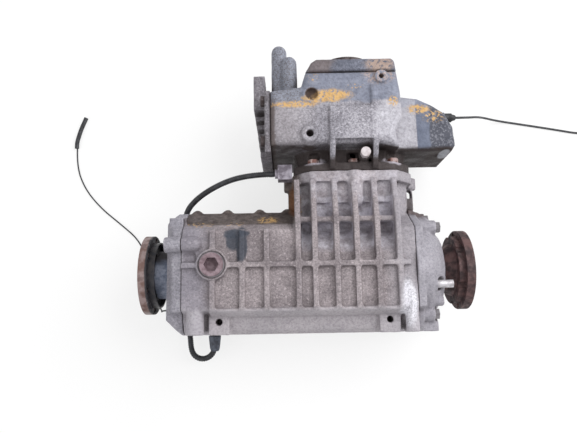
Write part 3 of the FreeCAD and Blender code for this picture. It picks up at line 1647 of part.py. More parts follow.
LOOM_ROUTE = [
    (-40, 137, 19),
    (-68, 137, 19),
    (-108, 131, 12),
    (-150, 112, -2),
    (-176, 92, -30),
    (-180, 58, -75),
    (-184, 8, -77.4),
    (-178, -48, -76),
    (-171, -84, -66),
    (-168, -109, -62),
    (-156.7, -118.1, -59),
    (-142.3, -117.1, -56),
    (-132.4, -106.5, -52),
    (-132.4, -95, -52),
]
LEFT_LEAD_ROUTE = [
    (-188, -48, -30),
    (-205, -48, -30),
    (-210, -50, -48),
    (-215, -47, -70),
    (-226, -34, -83.8),
    (-239, -6, -83.8),
    (-243, 30, -83.8),
    (-256, 62, -83.8),
    (-286, 88, -83.8),
    (-318, 114, -83.8),
    (-345, 146, -83.8),
    (-360, 183, -83.8),
    (-360.6, 213, -83.8),
]
SLEEVE_ROUTE = [
    (-360.6, 213, -81.6),
    (-360.8, 223, -81.6),
    (-356, 243, -81.6),
    (-348, 264, -81.6),
]
RIGHT_LEAD_ROUTE = [
    (222, 219.5, 8),
    (242, 219.5, 8),
    (262, 229, -16),
    (286, 241, -52),
    (318, 247, -83.2),
    (366, 238.5, -83.2),
    (412, 230, -83.2),
    (452, 222, -83.2),
    (484, 222, -83.2),
]


def tube(label, route, radius):
    """A round cord along straight runs joined by arcs."""
    stops = [Vector(*stop) for stop in route]
    edges, radii, length = [], [], 0.0
    here = stops[0]
    for before, corner, after in zip(stops, stops[1:], stops[2:]):
        come, leave = (corner - before), (after - corner)
        run = min(come.Length, leave.Length)
        turn = come.getAngle(leave)
        come.normalize()
        leave.normalize()
        bend = 0.45 * run / math.tan(turn / 2)
        start, end = corner - come * 0.45 * run, corner + leave * 0.45 * run
        inward = (leave - come).normalize()
        middle = corner + inward * (bend / math.cos(turn / 2) - bend)
        edges += [Part.LineSegment(here, start).toShape(), Part.Arc(start, middle, end).toShape()]
        length += (start - here).Length + bend * turn
        here = end
        radii.append(round(bend, 1))
    edges.append(Part.LineSegment(here, stops[-1]).toShape())
    length += (stops[-1] - here).Length
    print(label, "arc radii", radii, "length", round(length))
    along = (stops[1] - stops[0]).normalize()
    profile = Part.Wire(Part.Circle(stops[0], along, radius).toShape())
    cord = Part.Wire(edges).makePipeShell([profile], True, True)
    expected = math.pi * radius**2 * length
    if abs(cord.Volume / expected - 1) > 0.01:
        raise RuntimeError(f"{label} has {cord.Volume:.0f} instead of {expected:.0f}")
    made(label, cord)


def cords():
    tube("sensor_loom", LOOM_ROUTE, number(dim.loom_radius))
    tube("left_lead", LEFT_LEAD_ROUTE, number(dim.lead_radius))
    tube("left_lead_sleeve", SLEEVE_ROUTE, 3 * number(dim.lead_radius))
    tube("right_lead", RIGHT_LEAD_ROUTE, number(dim.cable_radius))


def connectors():
    band_left = dim.pinion_x - dim.neck_half - dim.band_rise
    loom_start = LOOM_ROUTE[0]
    plug = joined(
        "neck_connector_solid",
        [
            block("neck_connector_box", (band_left - 20, 127, 9.5), (band_left, 148, 28)),
            rod("neck_connector_collar", "X", (band_left - 24, loom_start[1], loom_start[2]), 6.5, 5),
        ],
    )
    node(plug, "neck_connector")
    low = -dim.case_half
    sensor = joined(
        "sensor_solid",
        [
            rod("sensor_thread", "Y", (dim.sensor_x, low, dim.sensor_z), 7, 22),
            rod("sensor_collar", "Y", (dim.sensor_x, low - 3, dim.sensor_z), 11, 3),
            rod("sensor_body", "Y", (dim.sensor_x, low - dim.sensor_long, dim.sensor_z), 8, dim.sensor_long),
        ],
    )
    node(sensor, "lower_sensor")
    start, along, high = dim.plug_start, dim.plug_along, dim.plug_high
    right_plug = joined(
        "right_plug_solid",
        [
            rod("right_plug_body", "X", (start, along, high), 6.5, dim.plug_long - 6),
            taper("right_plug_boot", "X", (start + dim.plug_long - 6, along, high), 5.5, 3.5, 6),
        ],
    )
    node(right_plug, "right_plug")
    x, y, _ = RIGHT_LEAD_ROUTE[-1]
    floor = -dim.axle_height
    ending = joined(
        "right_connector_solid",
        [
            block("right_connector_box", (x, y - 7, floor), (x + 22, y + 7, floor + 11)),
            block("right_connector_latch", (x + 6, y - 3, floor + 11), (x + 20, y + 3, floor + 13)),
        ],
    )
    node(ending, "right_lead_connector")
    left = -dim.case_left - dim.left_cover_long
    gland = rod("gland_rod", "X", (0, 0, 0), 4.5, 6)
    node(gland, "left_lead_gland", (left - 6, dim.gland_y, dim.gland_z), TURNS["X"])


def check_and_write():
    doc.recompute()
    for thing in doc.Objects:
        if "Invalid" in thing.State or "Error" in thing.State:
            raise RuntimeError(f"{thing.Name} failed: {thing.State}")
    os.makedirs("parts", exist_ok=True)
    for part in parts:
        shape = part.Shape
        if shape.isNull() or not shape.isValid():
            raise RuntimeError(f"{part.Label} has no valid shape")
        shape.exportStep(f"parts/{part.Label}.step")


final_drive_case()
left_end_cover()
right_end_cover()
cover_bolts()
coupling_housing()
input_cover()
side_cover()
housing_bolts()
bearings()
bushes_and_seals()
output_flanges()
carrier()
differential_gears()
pinion_group()
coupling()
fittings()
cords()
connectors()
check_and_write()
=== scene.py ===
import json
import math

import bpy
from mathutils import Matrix, Vector


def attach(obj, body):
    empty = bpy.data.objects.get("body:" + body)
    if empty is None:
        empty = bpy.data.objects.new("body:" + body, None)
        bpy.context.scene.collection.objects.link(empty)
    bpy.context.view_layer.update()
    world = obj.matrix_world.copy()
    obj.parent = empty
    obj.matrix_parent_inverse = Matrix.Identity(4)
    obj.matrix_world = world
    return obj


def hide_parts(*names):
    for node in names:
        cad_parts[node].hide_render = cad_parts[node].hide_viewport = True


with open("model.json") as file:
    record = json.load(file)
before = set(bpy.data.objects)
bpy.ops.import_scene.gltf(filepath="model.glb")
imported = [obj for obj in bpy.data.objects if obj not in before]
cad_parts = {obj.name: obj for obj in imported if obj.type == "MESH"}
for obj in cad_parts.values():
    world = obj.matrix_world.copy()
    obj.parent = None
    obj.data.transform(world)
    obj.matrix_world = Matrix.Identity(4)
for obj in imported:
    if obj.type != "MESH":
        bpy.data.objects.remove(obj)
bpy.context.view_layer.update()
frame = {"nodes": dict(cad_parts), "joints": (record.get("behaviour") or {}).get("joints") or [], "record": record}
nodes = frame["nodes"]
print("frame loaded:", len(nodes), "nodes")

axle = Vector(frame["joints"][0]["pos_m"])  # middle of the crown wheel, on the axle line
axle.x = 0.0


def fromAxle(x, y, z):
    # a place in millimetres from the middle of the axle, as a place in the row frame in metres
    return Vector((x / 1000, y / 1000, z / 1000)) + axle


# Camera, fitted to the round flanges of the photograph

camera = {
    "lens": 34.25,
    "distance": 0.7789,
    "lookAt": (-22.2, 79.8, 0.0),
    "tilt": 10.61,
    "roll": -1.054,
}


def makeCamera():
    tilt, roll = math.radians(camera["tilt"]), math.radians(camera["roll"])
    ahead = Vector((0, math.sin(tilt), -math.cos(tilt)))
    right = Vector((1, 0, 0))
    up = Vector((0, math.cos(tilt), math.sin(tilt)))
    turnedRight = right * math.cos(roll) + up * math.sin(roll)
    turnedUp = up * math.cos(roll) - right * math.sin(roll)
    data = bpy.data.cameras.new("photoCamera")
    data.lens = camera["lens"]
    data.sensor_width = 36
    eye = bpy.data.objects.new("photoCamera", data)
    place = fromAxle(*camera["lookAt"]) - ahead * camera["distance"]
    turn = Matrix((turnedRight, turnedUp, -ahead)).transposed().to_4x4()
    eye.matrix_world = Matrix.Translation(place) @ turn
    bpy.context.scene.collection.objects.link(eye)
    bpy.context.scene.camera = eye


makeCamera()
print("camera set")

# Cords

loom = {
    "radius": 4.2,
    "groove": 3.6,
    "pitch": 3.0,
    "weld": 0.0001,
    "sides": 14,
    "length": 0.435,
    "route": [
        (-40, 137, 19), (-68, 137, 19), (-108, 131, 12), (-150, 112, -2), (-176, 92, -30),
        (-180, 58, -75), (-184, 8, -77.4), (-178, -48, -76), (-171, -84, -66), (-168, -109, -62),
        (-156.7, -118.1, -59), (-142.3, -117.1, -56), (-132.4, -106.5, -52), (-132.4, -95, -52),
    ],
}

leftLead = {
    "radius": 1.1,
    "length": 0.369,
    "route": [
        (-188, -48, -30), (-205, -48, -30), (-210, -50, -48), (-215, -47, -70), (-226, -34, -83.8),
        (-239, -6, -83.8), (-243, 30, -83.8), (-256, 62, -83.8), (-286, 88, -83.8), (-318, 114, -83.8),
        (-345, 146, -83.8), (-360, 183, -83.8), (-360.6, 213, -83.8),
    ],
}

rightLead = {
    "radius": 1.7,
    "length": 0.307,
    "route": [
        (222, 219.5, 8), (242, 219.5, 8), (262, 229, -16), (286, 241, -52), (318, 247, -83.2),
        (366, 238.5, -83.2), (412, 230, -83.2), (452, 222, -83.2), (484, 222, -83.2),
    ],
}


def only(piece):
    bpy.ops.object.select_all(action="DESELECT")
    piece.select_set(True)
    bpy.context.view_layer.objects.active = piece


def nurbsLine(name, cord):
    data = bpy.data.curves.new(name, "CURVE")
    data.dimensions = "3D"
    spline = data.splines.new("NURBS")
    spline.points.add(len(cord["route"]) - 1)
    for point, place in zip(spline.points, cord["route"]):
        point.co = (*fromAxle(*place), 1.0)
    spline.order_u = 3
    spline.use_endpoint_u = True
    spline.resolution_u = 16
    piece = bpy.data.objects.new(name, data)
    bpy.context.scene.collection.objects.link(piece)
    return piece


def declareCord(piece, node):
    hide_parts(node)
    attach(piece, "housing")
    return piece


def roundCord(name, cord, node):
    piece = nurbsLine(name, cord)
    piece.data.bevel_depth = 1.0  # times each point's own radius
    for point in piece.data.splines[0].points:
        point.radius = cord["radius"] / 1000
    piece.data.bevel_resolution = 5
    piece.data.use_fill_caps = True
    return declareCord(piece, node)


def ridgedCord(name, cord, node):
    # one ridge of the conduit, repeated and bent along the cord's own line
    line = nurbsLine(name + "Line", cord)
    mesh = bpy.data.meshes.new_from_object(line)
    path = [v.co.copy() for v in mesh.vertices]
    bpy.data.meshes.remove(mesh)
    run = sum((b - a).length for a, b in zip(path, path[1:]))
    count = round(run / (cord["pitch"] / 1000))
    step = run / count
    bpy.ops.object.select_all(action="DESELECT")
    bpy.ops.mesh.primitive_circle_add(
        vertices=cord["sides"], radius=cord["groove"] / 1000, rotation=(0, math.pi / 2, 0)
    )
    piece = bpy.context.object
    piece.name = name
    bpy.ops.object.transform_apply(location=False, rotation=True, scale=False)
    bpy.ops.object.mode_set(mode="EDIT")
    bpy.ops.mesh.select_all(action="SELECT")
    wider = cord["radius"] / cord["groove"]
    # share of the pitch and growth of the radius, from one valley to the next
    for share, growth in ((0.25, 1.0), (0.15, wider), (0.35, 1.0), (0.25, 1 / wider)):
        bpy.ops.mesh.extrude_region_move(TRANSFORM_OT_translate={"value": (share * step, 0, 0)})
        bpy.ops.transform.resize(value=(1, growth, growth))
    bpy.ops.object.mode_set(mode="OBJECT")
    ridges = piece.modifiers.new("ridges", "ARRAY")
    ridges.count = count
    ridges.use_relative_offset = False
    ridges.use_constant_offset = True
    ridges.constant_offset_displace = (step, 0, 0)
    ridges.use_merge_vertices = True
    ridges.merge_threshold = cord["weld"]
    bpy.ops.object.modifier_apply(modifier=ridges.name)
    bend = piece.modifiers.new("bend", "CURVE")
    bend.object = line
    bend.deform_axis = "POS_X"
    bpy.ops.object.modifier_apply(modifier=bend.name)
    bpy.ops.object.mode_set(mode="EDIT")
    bpy.ops.mesh.select_all(action="SELECT")
    bpy.ops.mesh.fill_holes(sides=0)
    bpy.ops.mesh.normals_make_consistent(inside=False)
    bpy.ops.object.mode_set(mode="OBJECT")
    piece.data.shade_smooth()
    bpy.data.objects.remove(line)
    return declareCord(piece, node)


cords = [
    ridgedCord("sensorLoom", loom, "sensor_loom"),
    roundCord("leftLead", leftLead, "left_lead"),
    roundCord("rightLead", rightLead, "right_lead"),
]
print("cords laid:", len(cords))

boot = {
    "top": (-132.4, -85, -51),
    "foot": (-132.4, -107, -52.6),
    "topRadius": 9.0,
    "footRadius": 5.6,
    "lip": 1.2,
    "lipAt": 0.22,  # share of the boot's length from its foot
    "lipGrowth": 1.12,
    "edge": 1.2,
}


def makeBoot():
    # a tapered rubber boot over the end of the conduit, with a rolled lip at its foot
    top, foot = fromAxle(*boot["top"]), fromAxle(*boot["foot"])
    along = top - foot
    lipPlace = foot + along * boot["lipAt"]
    bpy.ops.object.select_all(action="DESELECT")
    bpy.ops.mesh.primitive_cone_add(
        vertices=40, radius1=boot["footRadius"] / 1000, radius2=boot["topRadius"] / 1000, depth=along.length,
        location=(top + foot) / 2, rotation=along.to_track_quat("Z", "Y").to_euler(),
    )
    piece = bpy.context.object
    piece.name = "sensorBoot"
    bpy.ops.object.transform_apply(location=True, rotation=True, scale=True)
    bpy.ops.object.mode_set(mode="EDIT")
    bpy.ops.mesh.select_all(action="SELECT")
    bpy.ops.mesh.bisect(plane_co=lipPlace, plane_no=along.normalized())
    bpy.ops.mesh.bevel(offset=boot["lip"] / 1000, segments=3)
    grown = boot["lipGrowth"]
    bpy.ops.transform.resize(value=(grown, 1.0, grown), center_override=lipPlace)
    bpy.ops.object.mode_set(mode="OBJECT")
    edges = piece.modifiers.new("edges", "BEVEL")
    edges.width = boot["edge"] / 1000
    edges.segments = 3
    bpy.ops.object.modifier_apply(modifier=edges.name)
    piece.data.shade_smooth()
    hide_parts("lower_sensor")
    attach(piece, "housing")
    return piece


sensorBoot = makeBoot()
print("boot fitted")

# Castings: the CAD solids with rounded edges, an uneven skin and small forms of the mould

castings = {
    "voxel": 0.0015,
    "smoothing": 2,
    "smoothFactor": 0.5,
    "lump": 0.0006,
    "lumpSize": 0.009,
    "most": 190000,  # triangles of one casting
    "weld": 0.00001,
}

mouldForms = {
    "columnFront": 69,
    "leftColumn": (-143, 11.5, 33),  # x, radius and height above its foot
    "rightColumn": (132, 8.5, 46),
    "columnFoot": -81.5,
    "middleBoss": (68, 51, 10.5, 92, 130.5),  # x, z, radius and its two ends along Y
    "finger": (33, 67.5, 10.0, -181.5, -160.3, -159.7, -144),  # y, z, radius, ends on cover and case
    "earWeb": ((-24.25, 28), 170, 288, 9),  # x and z of its middle, both ends along Y and its radius
}


def barrel(name, ends, radius, tip=False):
    # a round bar between two places in millimetres, with a ball at its far end where tip is set
    first, last = (fromAxle(*end) for end in ends)
    along = last - first
    bpy.ops.object.select_all(action="DESELECT")
    bpy.ops.mesh.primitive_cylinder_add(
        vertices=40, radius=radius / 1000, depth=along.length, location=(first + last) / 2,
        rotation=along.to_track_quat("Z", "Y").to_euler(),
    )
    made = [bpy.context.object]
    made[0].name = name
    if tip:
        bpy.ops.object.select_all(action="DESELECT")
        bpy.ops.mesh.primitive_uv_sphere_add(segments=40, ring_count=20, radius=radius / 1000, location=last)
        made.append(bpy.context.object)
    return made


def caseForms():
    made = []
    front, foot = mouldForms["columnFront"], mouldForms["columnFoot"]
    for side in ("leftColumn", "rightColumn"):
        x, radius, height = mouldForms[side]
        ends = ((x, foot, front - radius), (x, foot + height, front - radius))
        made += barrel(side, ends, radius, tip=True)
    x, z, radius, low, high = mouldForms["middleBoss"]
    made += barrel("middleBoss", ((x, high, z), (x, low, z)), radius, tip=True)
    y, z, radius, _, _, start, end = mouldForms["finger"]
    made += barrel("caseFinger", ((start, y, z), (end, y, z)), radius, tip=True)
    return made


def coverForms():
    y, z, radius, start, end, _, _ = mouldForms["finger"]
    return barrel("coverFinger", ((start, y, z), (end, y, z)), radius)


def housingForms():
    (x, z), low, high, radius = mouldForms["earWeb"]
    return barrel("earWeb", ((x, low, z), (x, high, z)), radius, tip=True)


def castCopy(node, name, forms=None):
    # the CAD casting again, with its edges rounded and its skin uneven as sand leaves them
    source = nodes[node]
    piece = bpy.data.objects.new(name, source.data.copy())
    bpy.context.scene.collection.objects.link(piece)
    only(piece)
    bpy.ops.object.mode_set(mode="EDIT")
    bpy.ops.mesh.select_all(action="SELECT")
    bpy.ops.mesh.remove_doubles(threshold=castings["weld"])
    bpy.ops.object.mode_set(mode="OBJECT")
    if forms:
        made = forms()
        only(piece)
        for form in made:
            form.select_set(True)
        bpy.ops.object.join()
    remesh = piece.modifiers.new("cast edges", "REMESH")
    remesh.mode = "VOXEL"
    remesh.voxel_size = castings["voxel"]
    remesh.use_smooth_shade = True
    bpy.ops.object.modifier_apply(modifier=remesh.name)
    smooth = piece.modifiers.new("worn", "SMOOTH")
    smooth.factor = castings["smoothFactor"]
    smooth.iterations = castings["smoothing"]
    bpy.ops.object.modifier_apply(modifier=smooth.name)
    texture = bpy.data.textures.new(name + " skin", "CLOUDS")
    texture.noise_scale = castings["lumpSize"]
    texture.noise_depth = 2
    lumps = piece.modifiers.new("sand skin", "DISPLACE")
    lumps.texture = texture
    lumps.texture_coords = "LOCAL"
    lumps.strength = castings["lump"]
    lumps.mid_level = 0.5
    bpy.ops.object.modifier_apply(modifier=lumps.name)
    for vertex in piece.data.vertices:
        vertex.co.z = max(vertex.co.z, 0.0)
    triangles = 2 * len(piece.data.polygons)
    if triangles > castings["most"]:
        fewer = piece.modifiers.new("fewer", "DECIMATE")
        fewer.ratio = castings["most"] / triangles
        bpy.ops.object.modifier_apply(modifier=fewer.name)
    piece.data.shade_smooth()
    piece.data.materials.clear()
    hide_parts(node)
    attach(piece, "housing")
    print("cast", name, "triangles before", triangles, "faces after", len(piece.data.polygons))
    return piece


mainCase = castCopy("final_drive_case", "mainCase", caseForms)
leftCover = castCopy("left_end_cover", "leftCover", coverForms)
rightCover = castCopy("right_end_cover", "rightCover")
couplingCase = castCopy("coupling_housing", "couplingCase", housingForms)
frontCover = castCopy("input_cover", "frontCover")
sideCover = castCopy("coupling_side_cover", "sideCover")
print("castings made")

# Materials


class Finish:
    # a node material built up a step at a time on Object coordinates
    def __init__(self, name):
        self.material = bpy.data.materials.new(name)
        self.material.use_nodes = True
        self.tree = self.material.node_tree
        self.shader = self.tree.nodes["Principled BSDF"]
        self.place = self.tree.nodes.new("ShaderNodeTexCoord").outputs["Object"]
        self.axes = self.add("SeparateXYZ", Vector=self.place).outputs
        self.ragged = self.noise(55.0, 5.0, 0.65)

    def add(self, kind, **inputs):
        node = self.tree.nodes.new("ShaderNode" + kind)
        for key, value in inputs.items():
            self.feed(node.inputs[key.replace("_", " ")], value)
        return node

    def feed(self, socket, value):
        if isinstance(value, bpy.types.NodeSocket):
            self.tree.links.new(value, socket)
        else:
            socket.default_value = value

    def noise(self, scale, detail=4.0, rough=0.55):
        node = self.add("TexNoise", Vector=self.place, Scale=scale, Detail=detail, Roughness=rough)
        return node.outputs["Fac"]

    def ramp(self, value, low, high, fromValue=0.0, toValue=1.0):
        node = self.add("MapRange")
        node.interpolation_type = "SMOOTHSTEP"
        for index, item in enumerate((value, low, high, fromValue, toValue)):
            self.feed(node.inputs[index], item)
        return node.outputs[0]

    def math(self, kind, first, second=0.5, third=None):
        node = self.add("Math")
        node.operation = kind
        self.feed(node.inputs[0], first)
        self.feed(node.inputs[1], second)
        if third is not None:
            self.feed(node.inputs[2], third)
        return node.outputs[0]

    def both(self, first, *others):
        for other in others:
            first = self.math("MULTIPLY", first, other)
        return first

    def mix(self, amount, first, second, kind="MIX"):
        node = self.add("MixRGB", Fac=amount)
        node.blend_type = kind
        self.feed(node.inputs[1], first if isinstance(first, bpy.types.NodeSocket) else (*first, 1.0))
        self.feed(node.inputs[2], second if isinstance(second, bpy.types.NodeSocket) else (*second, 1.0))
        return node.outputs[0]

    def lay(self, mask, colour, share=None):
        # a colour laid over the tone so far, where the mask is white
        if share is not None:
            mask = self.math("MULTIPLY", mask, share)
        self.tone = self.mix(mask, self.tone, colour)

    def beyond(self, axis, edge, soft=4.0, wander=0.0):
        # 1 past a plane in millimetres from the axle; a negative soft turns the side round
        index = "XYZ".index(axis)
        middle = edge / 1000 + axle[index]
        value = self.axes[index]
        if wander:
            value = self.math("MULTIPLY_ADD", self.ragged, wander / 500, value)
            middle += wander / 1000
        half = abs(soft) / 2000
        ends = (0.0, 1.0) if soft > 0 else (1.0, 0.0)
        return self.ramp(value, middle - half, middle + half, *ends)

    def patch(self, middle, reach, soft=0.4, wander=0.5):
        # 1 inside a rough-edged ellipsoid round a place in millimetres from the axle, 0 outside
        centre = fromAxle(*middle)
        size = [1000 / r for r in reach]
        shifted = self.add(
            "Mapping", Vector=self.place, Location=[-c * s for c, s in zip(centre, size)], Scale=size
        ).outputs[0]
        length = self.add("VectorMath", Vector=shifted)
        length.operation = "LENGTH"
        total = self.math("MULTIPLY_ADD", self.ragged, wander * 2, length.outputs["Value"])
        return self.ramp(total, 1.0 + wander - soft / 2, 1.0 + wander + soft / 2, 1.0, 0.0)

    def splash(self, middle, reach, cover=0.5):
        # specks thrown thickly over one place
        specks = self.ramp(self.noise(230.0, 5.0, 0.75), 1.0 - cover - 0.03, 1.0 - cover + 0.03)
        return self.both(self.patch(middle, reach, 0.7, 0.6), specks)

    def hollow(self, reach, samples=5, inside=False):
        node = self.add("AmbientOcclusion", Distance=reach)
        node.samples = samples
        node.inside = inside
        return node.outputs["AO"]

    def bumps(self, height, strength, distance, before=None):
        node = self.add("Bump", Strength=strength, Distance=distance, Height=height)
        if before:
            self.feed(node.inputs["Normal"], before)
        return node.outputs[0]


sand = {
    "grain": 430.0,
    "fineGrain": 1000.0,
    "crease": 0.005,
    "deep": 0.022,
    "edgeWearAndHighlight": 0.0025,
}


def castMetal(name, light, dark, grain=0.6):
    f = Finish(name)
    f.tone = f.mix(f.ramp(f.noise(24.0, 6.0, 0.6), 0.36, 0.64), light, dark)
    f.grain = f.noise(sand["grain"], 4.0, 0.7)
    f.tone = f.mix(f.ramp(f.grain, 0.42, 0.62, 0.0, grain), f.tone, (0.45, 0.44, 0.46), "MULTIPLY")
    speck = f.ramp(f.noise(sand["grain"] * 0.8, 2.0, 0.5), 0.60, 0.70, 0.0, 0.4)
    f.lay(speck, [min(1.0, 1.7 * c) for c in light])
    return f


def weatherShadeAndHighlight(f, creaseGrimeAndShade, crust, edge, seams=False):
    # dirt and painted shade in the creases and deep places, laid by ambient occlusion masks, and bare metal with a
    # painted highlight on the convex edges; less of it in the cover seams
    crease = f.ramp(f.hollow(sand["crease"]), 0.45, 0.9, 0.85, 0.0)
    if seams:
        ends = f.math("MAXIMUM", f.beyond("X", -156, -4), f.beyond("X", 136, 4))
        crease = f.both(crease, f.math("MULTIPLY_ADD", ends, -0.65, 1.0))
    f.lay(crease, creaseGrimeAndShade)
    # painted shade and dirt: the deep places darkened toward the crust colour by a wide ambient occlusion mask
    deep = f.ramp(f.hollow(sand["deep"], 6), 0.15, 0.75, 1.0, 0.0)
    f.tone = f.mix(f.both(deep, f.ramp(f.ragged, 0.3, 0.6, 0.45, 0.95)), f.tone, crust)
    # bare-metal wear and painted highlight: convex edges lightened by an inside ambient occlusion mask
    worn = f.ramp(f.hollow(sand["edgeWearAndHighlight"], 5, True), 0.55, 0.9, 1.0, 0.0)
    f.tone = f.mix(f.both(worn, f.ramp(f.ragged, 0.4, 0.6, 0.2, 0.6)), f.tone, edge)


def closeMetal(f, metallic=0.3, rough=(0.55, 0.8)):
    shader = f.shader
    pits = f.ramp(f.noise(sand["grain"] * 0.7, 5.0, 0.75), 0.46, 0.60, 0.0, 0.45)
    f.tone = f.mix(pits, f.tone, (0.52, 0.51, 0.53), "MULTIPLY")
    f.feed(shader.inputs["Base Color"], f.tone)
    shader.inputs["Metallic"].default_value = metallic
    f.feed(shader.inputs["Roughness"], f.ramp(f.noise(60.0), 0.3, 0.7, *rough))
    coarse = f.bumps(f.grain, 0.6, 0.0014)
    f.feed(shader.inputs["Normal"], f.bumps(f.noise(sand["fineGrain"], 3.0), 0.35, 0.0005, coarse))
    return f.material


yellow = (0.60, 0.38, 0.155)


def caseMetal():
    f = castMetal("warm grey casting", (0.40, 0.352, 0.362), (0.265, 0.23, 0.24))
    ends = f.beyond("X", -128, -30, 10)
    f.lay(ends, (0.27, 0.262, 0.315), 0.6)
    rightEnd = f.beyond("X", 108, 40, 14)
    f.lay(rightEnd, (0.36, 0.345, 0.38), 0.65)
    rail = f.beyond("Y", -50, -8, 5)
    f.lay(rail, (0.50, 0.475, 0.51), 0.6)
    weatherShadeAndHighlight(f, (0.075, 0.055, 0.055), (0.085, 0.07, 0.075), (0.46, 0.44, 0.47), True)
    # painted light: pale pocket floors and lower walls set against the shade of the deep pockets, less of it past
    # Y 96
    pocket = f.both(f.beyond("Z", 64, -5), f.beyond("Y", 20, 3), f.beyond("X", -6, 2), f.beyond("X", 124, -2))
    pocket = f.both(pocket, f.math("MULTIPLY_ADD", f.beyond("Y", 96, 3), -0.4, 0.8))
    paintedLightTone = f.mix(f.ramp(f.ragged, 0.38, 0.62), (0.66, 0.64, 0.71), (0.36, 0.33, 0.36))
    f.lay(pocket, paintedLightTone)
    # painted highlight: a bright streak down the right column
    columnHighlight = f.patch((127, -46, 66), (11, 30, 16), 0.6, 0.3)
    shine = f.mix(f.ramp(f.grain, 0.45, 0.62), (0.74, 0.73, 0.78), (0.46, 0.45, 0.49))
    f.lay(columnHighlight, shine)
    # dirt and painted shade on the sloping face along the top edge
    topSlopeDirtAndShade = f.both(f.beyond("Y", 57, 6, 12), f.beyond("X", -6, -10, 8), f.beyond("Z", 56, -8, 6))
    dirtAndShadeTone = f.mix(f.ramp(f.noise(110.0, 6.0, 0.75), 0.38, 0.68), (0.045, 0.03, 0.026), (0.15, 0.12, 0.108))
    f.lay(topSlopeDirtAndShade, dirtAndShadeTone, 0.9)
    for middle, reach in (
        ((-90, 46, 66), (15, 7, 20)), ((-95, 37, 66), (7.5, 14, 20)), ((-83, 32, 66), (7, 24, 20)),
    ):
        stain = f.patch(middle, reach, 0.35, 0.6)
        f.lay(stain, (0.05, 0.06, 0.082), 0.88)
    orangeRust = f.patch((-12, 92, 10), (9, 32, 30), 0.6, 0.7)
    f.lay(orangeRust, (0.22, 0.10, 0.045), 0.85)
    blueLump = f.patch((-6, 108, 18), (9, 13, 12), 0.5, 0.4)
    f.lay(blueLump, (0.34, 0.38, 0.46))
    darkRight = f.patch((152, 88, 10), (16, 22, 40), 0.6, 0.6)
    f.lay(darkRight, (0.06, 0.045, 0.045), 0.8)
    for middle, reach, cover in (
        ((-50, 66, 42), (13, 8, 14), 0.5), ((-139, 59, 52), (16, 5, 12), 0.45),
        ((-92, 60, 50), (14, 4, 12), 0.42), ((-9, 76, 24), (5, 14, 20), 0.45),
    ):
        f.lay(f.splash(middle, reach, cover), yellow)
    return closeMetal(f)


def coverMetal():
    # the end covers, cooler than the case, with a painted nose and a rusty upper right edge
    f = castMetal("cool end covers", (0.40, 0.385, 0.43), (0.31, 0.30, 0.34), 0.5)
    rightEnd = f.beyond("X", 100, 20, 10)
    f.lay(rightEnd, (0.36, 0.345, 0.38), 0.6)
    weatherShadeAndHighlight(f, (0.08, 0.065, 0.07), (0.11, 0.095, 0.1), (0.46, 0.44, 0.48), True)
    nose = f.beyond("X", -183.5, -2)
    f.lay(nose, f.mix(f.ramp(f.ragged, 0.4, 0.6), (0.16, 0.185, 0.255), (0.33, 0.36, 0.45)))
    noseTop = f.both(nose, f.beyond("Y", 14, 10, 8))
    f.lay(noseTop, (0.05, 0.045, 0.05))
    crust = f.patch((156, 84, 20), (26, 15, 60), 0.5, 0.8)
    f.lay(crust, (0.085, 0.055, 0.05), 0.85)
    return closeMetal(f)


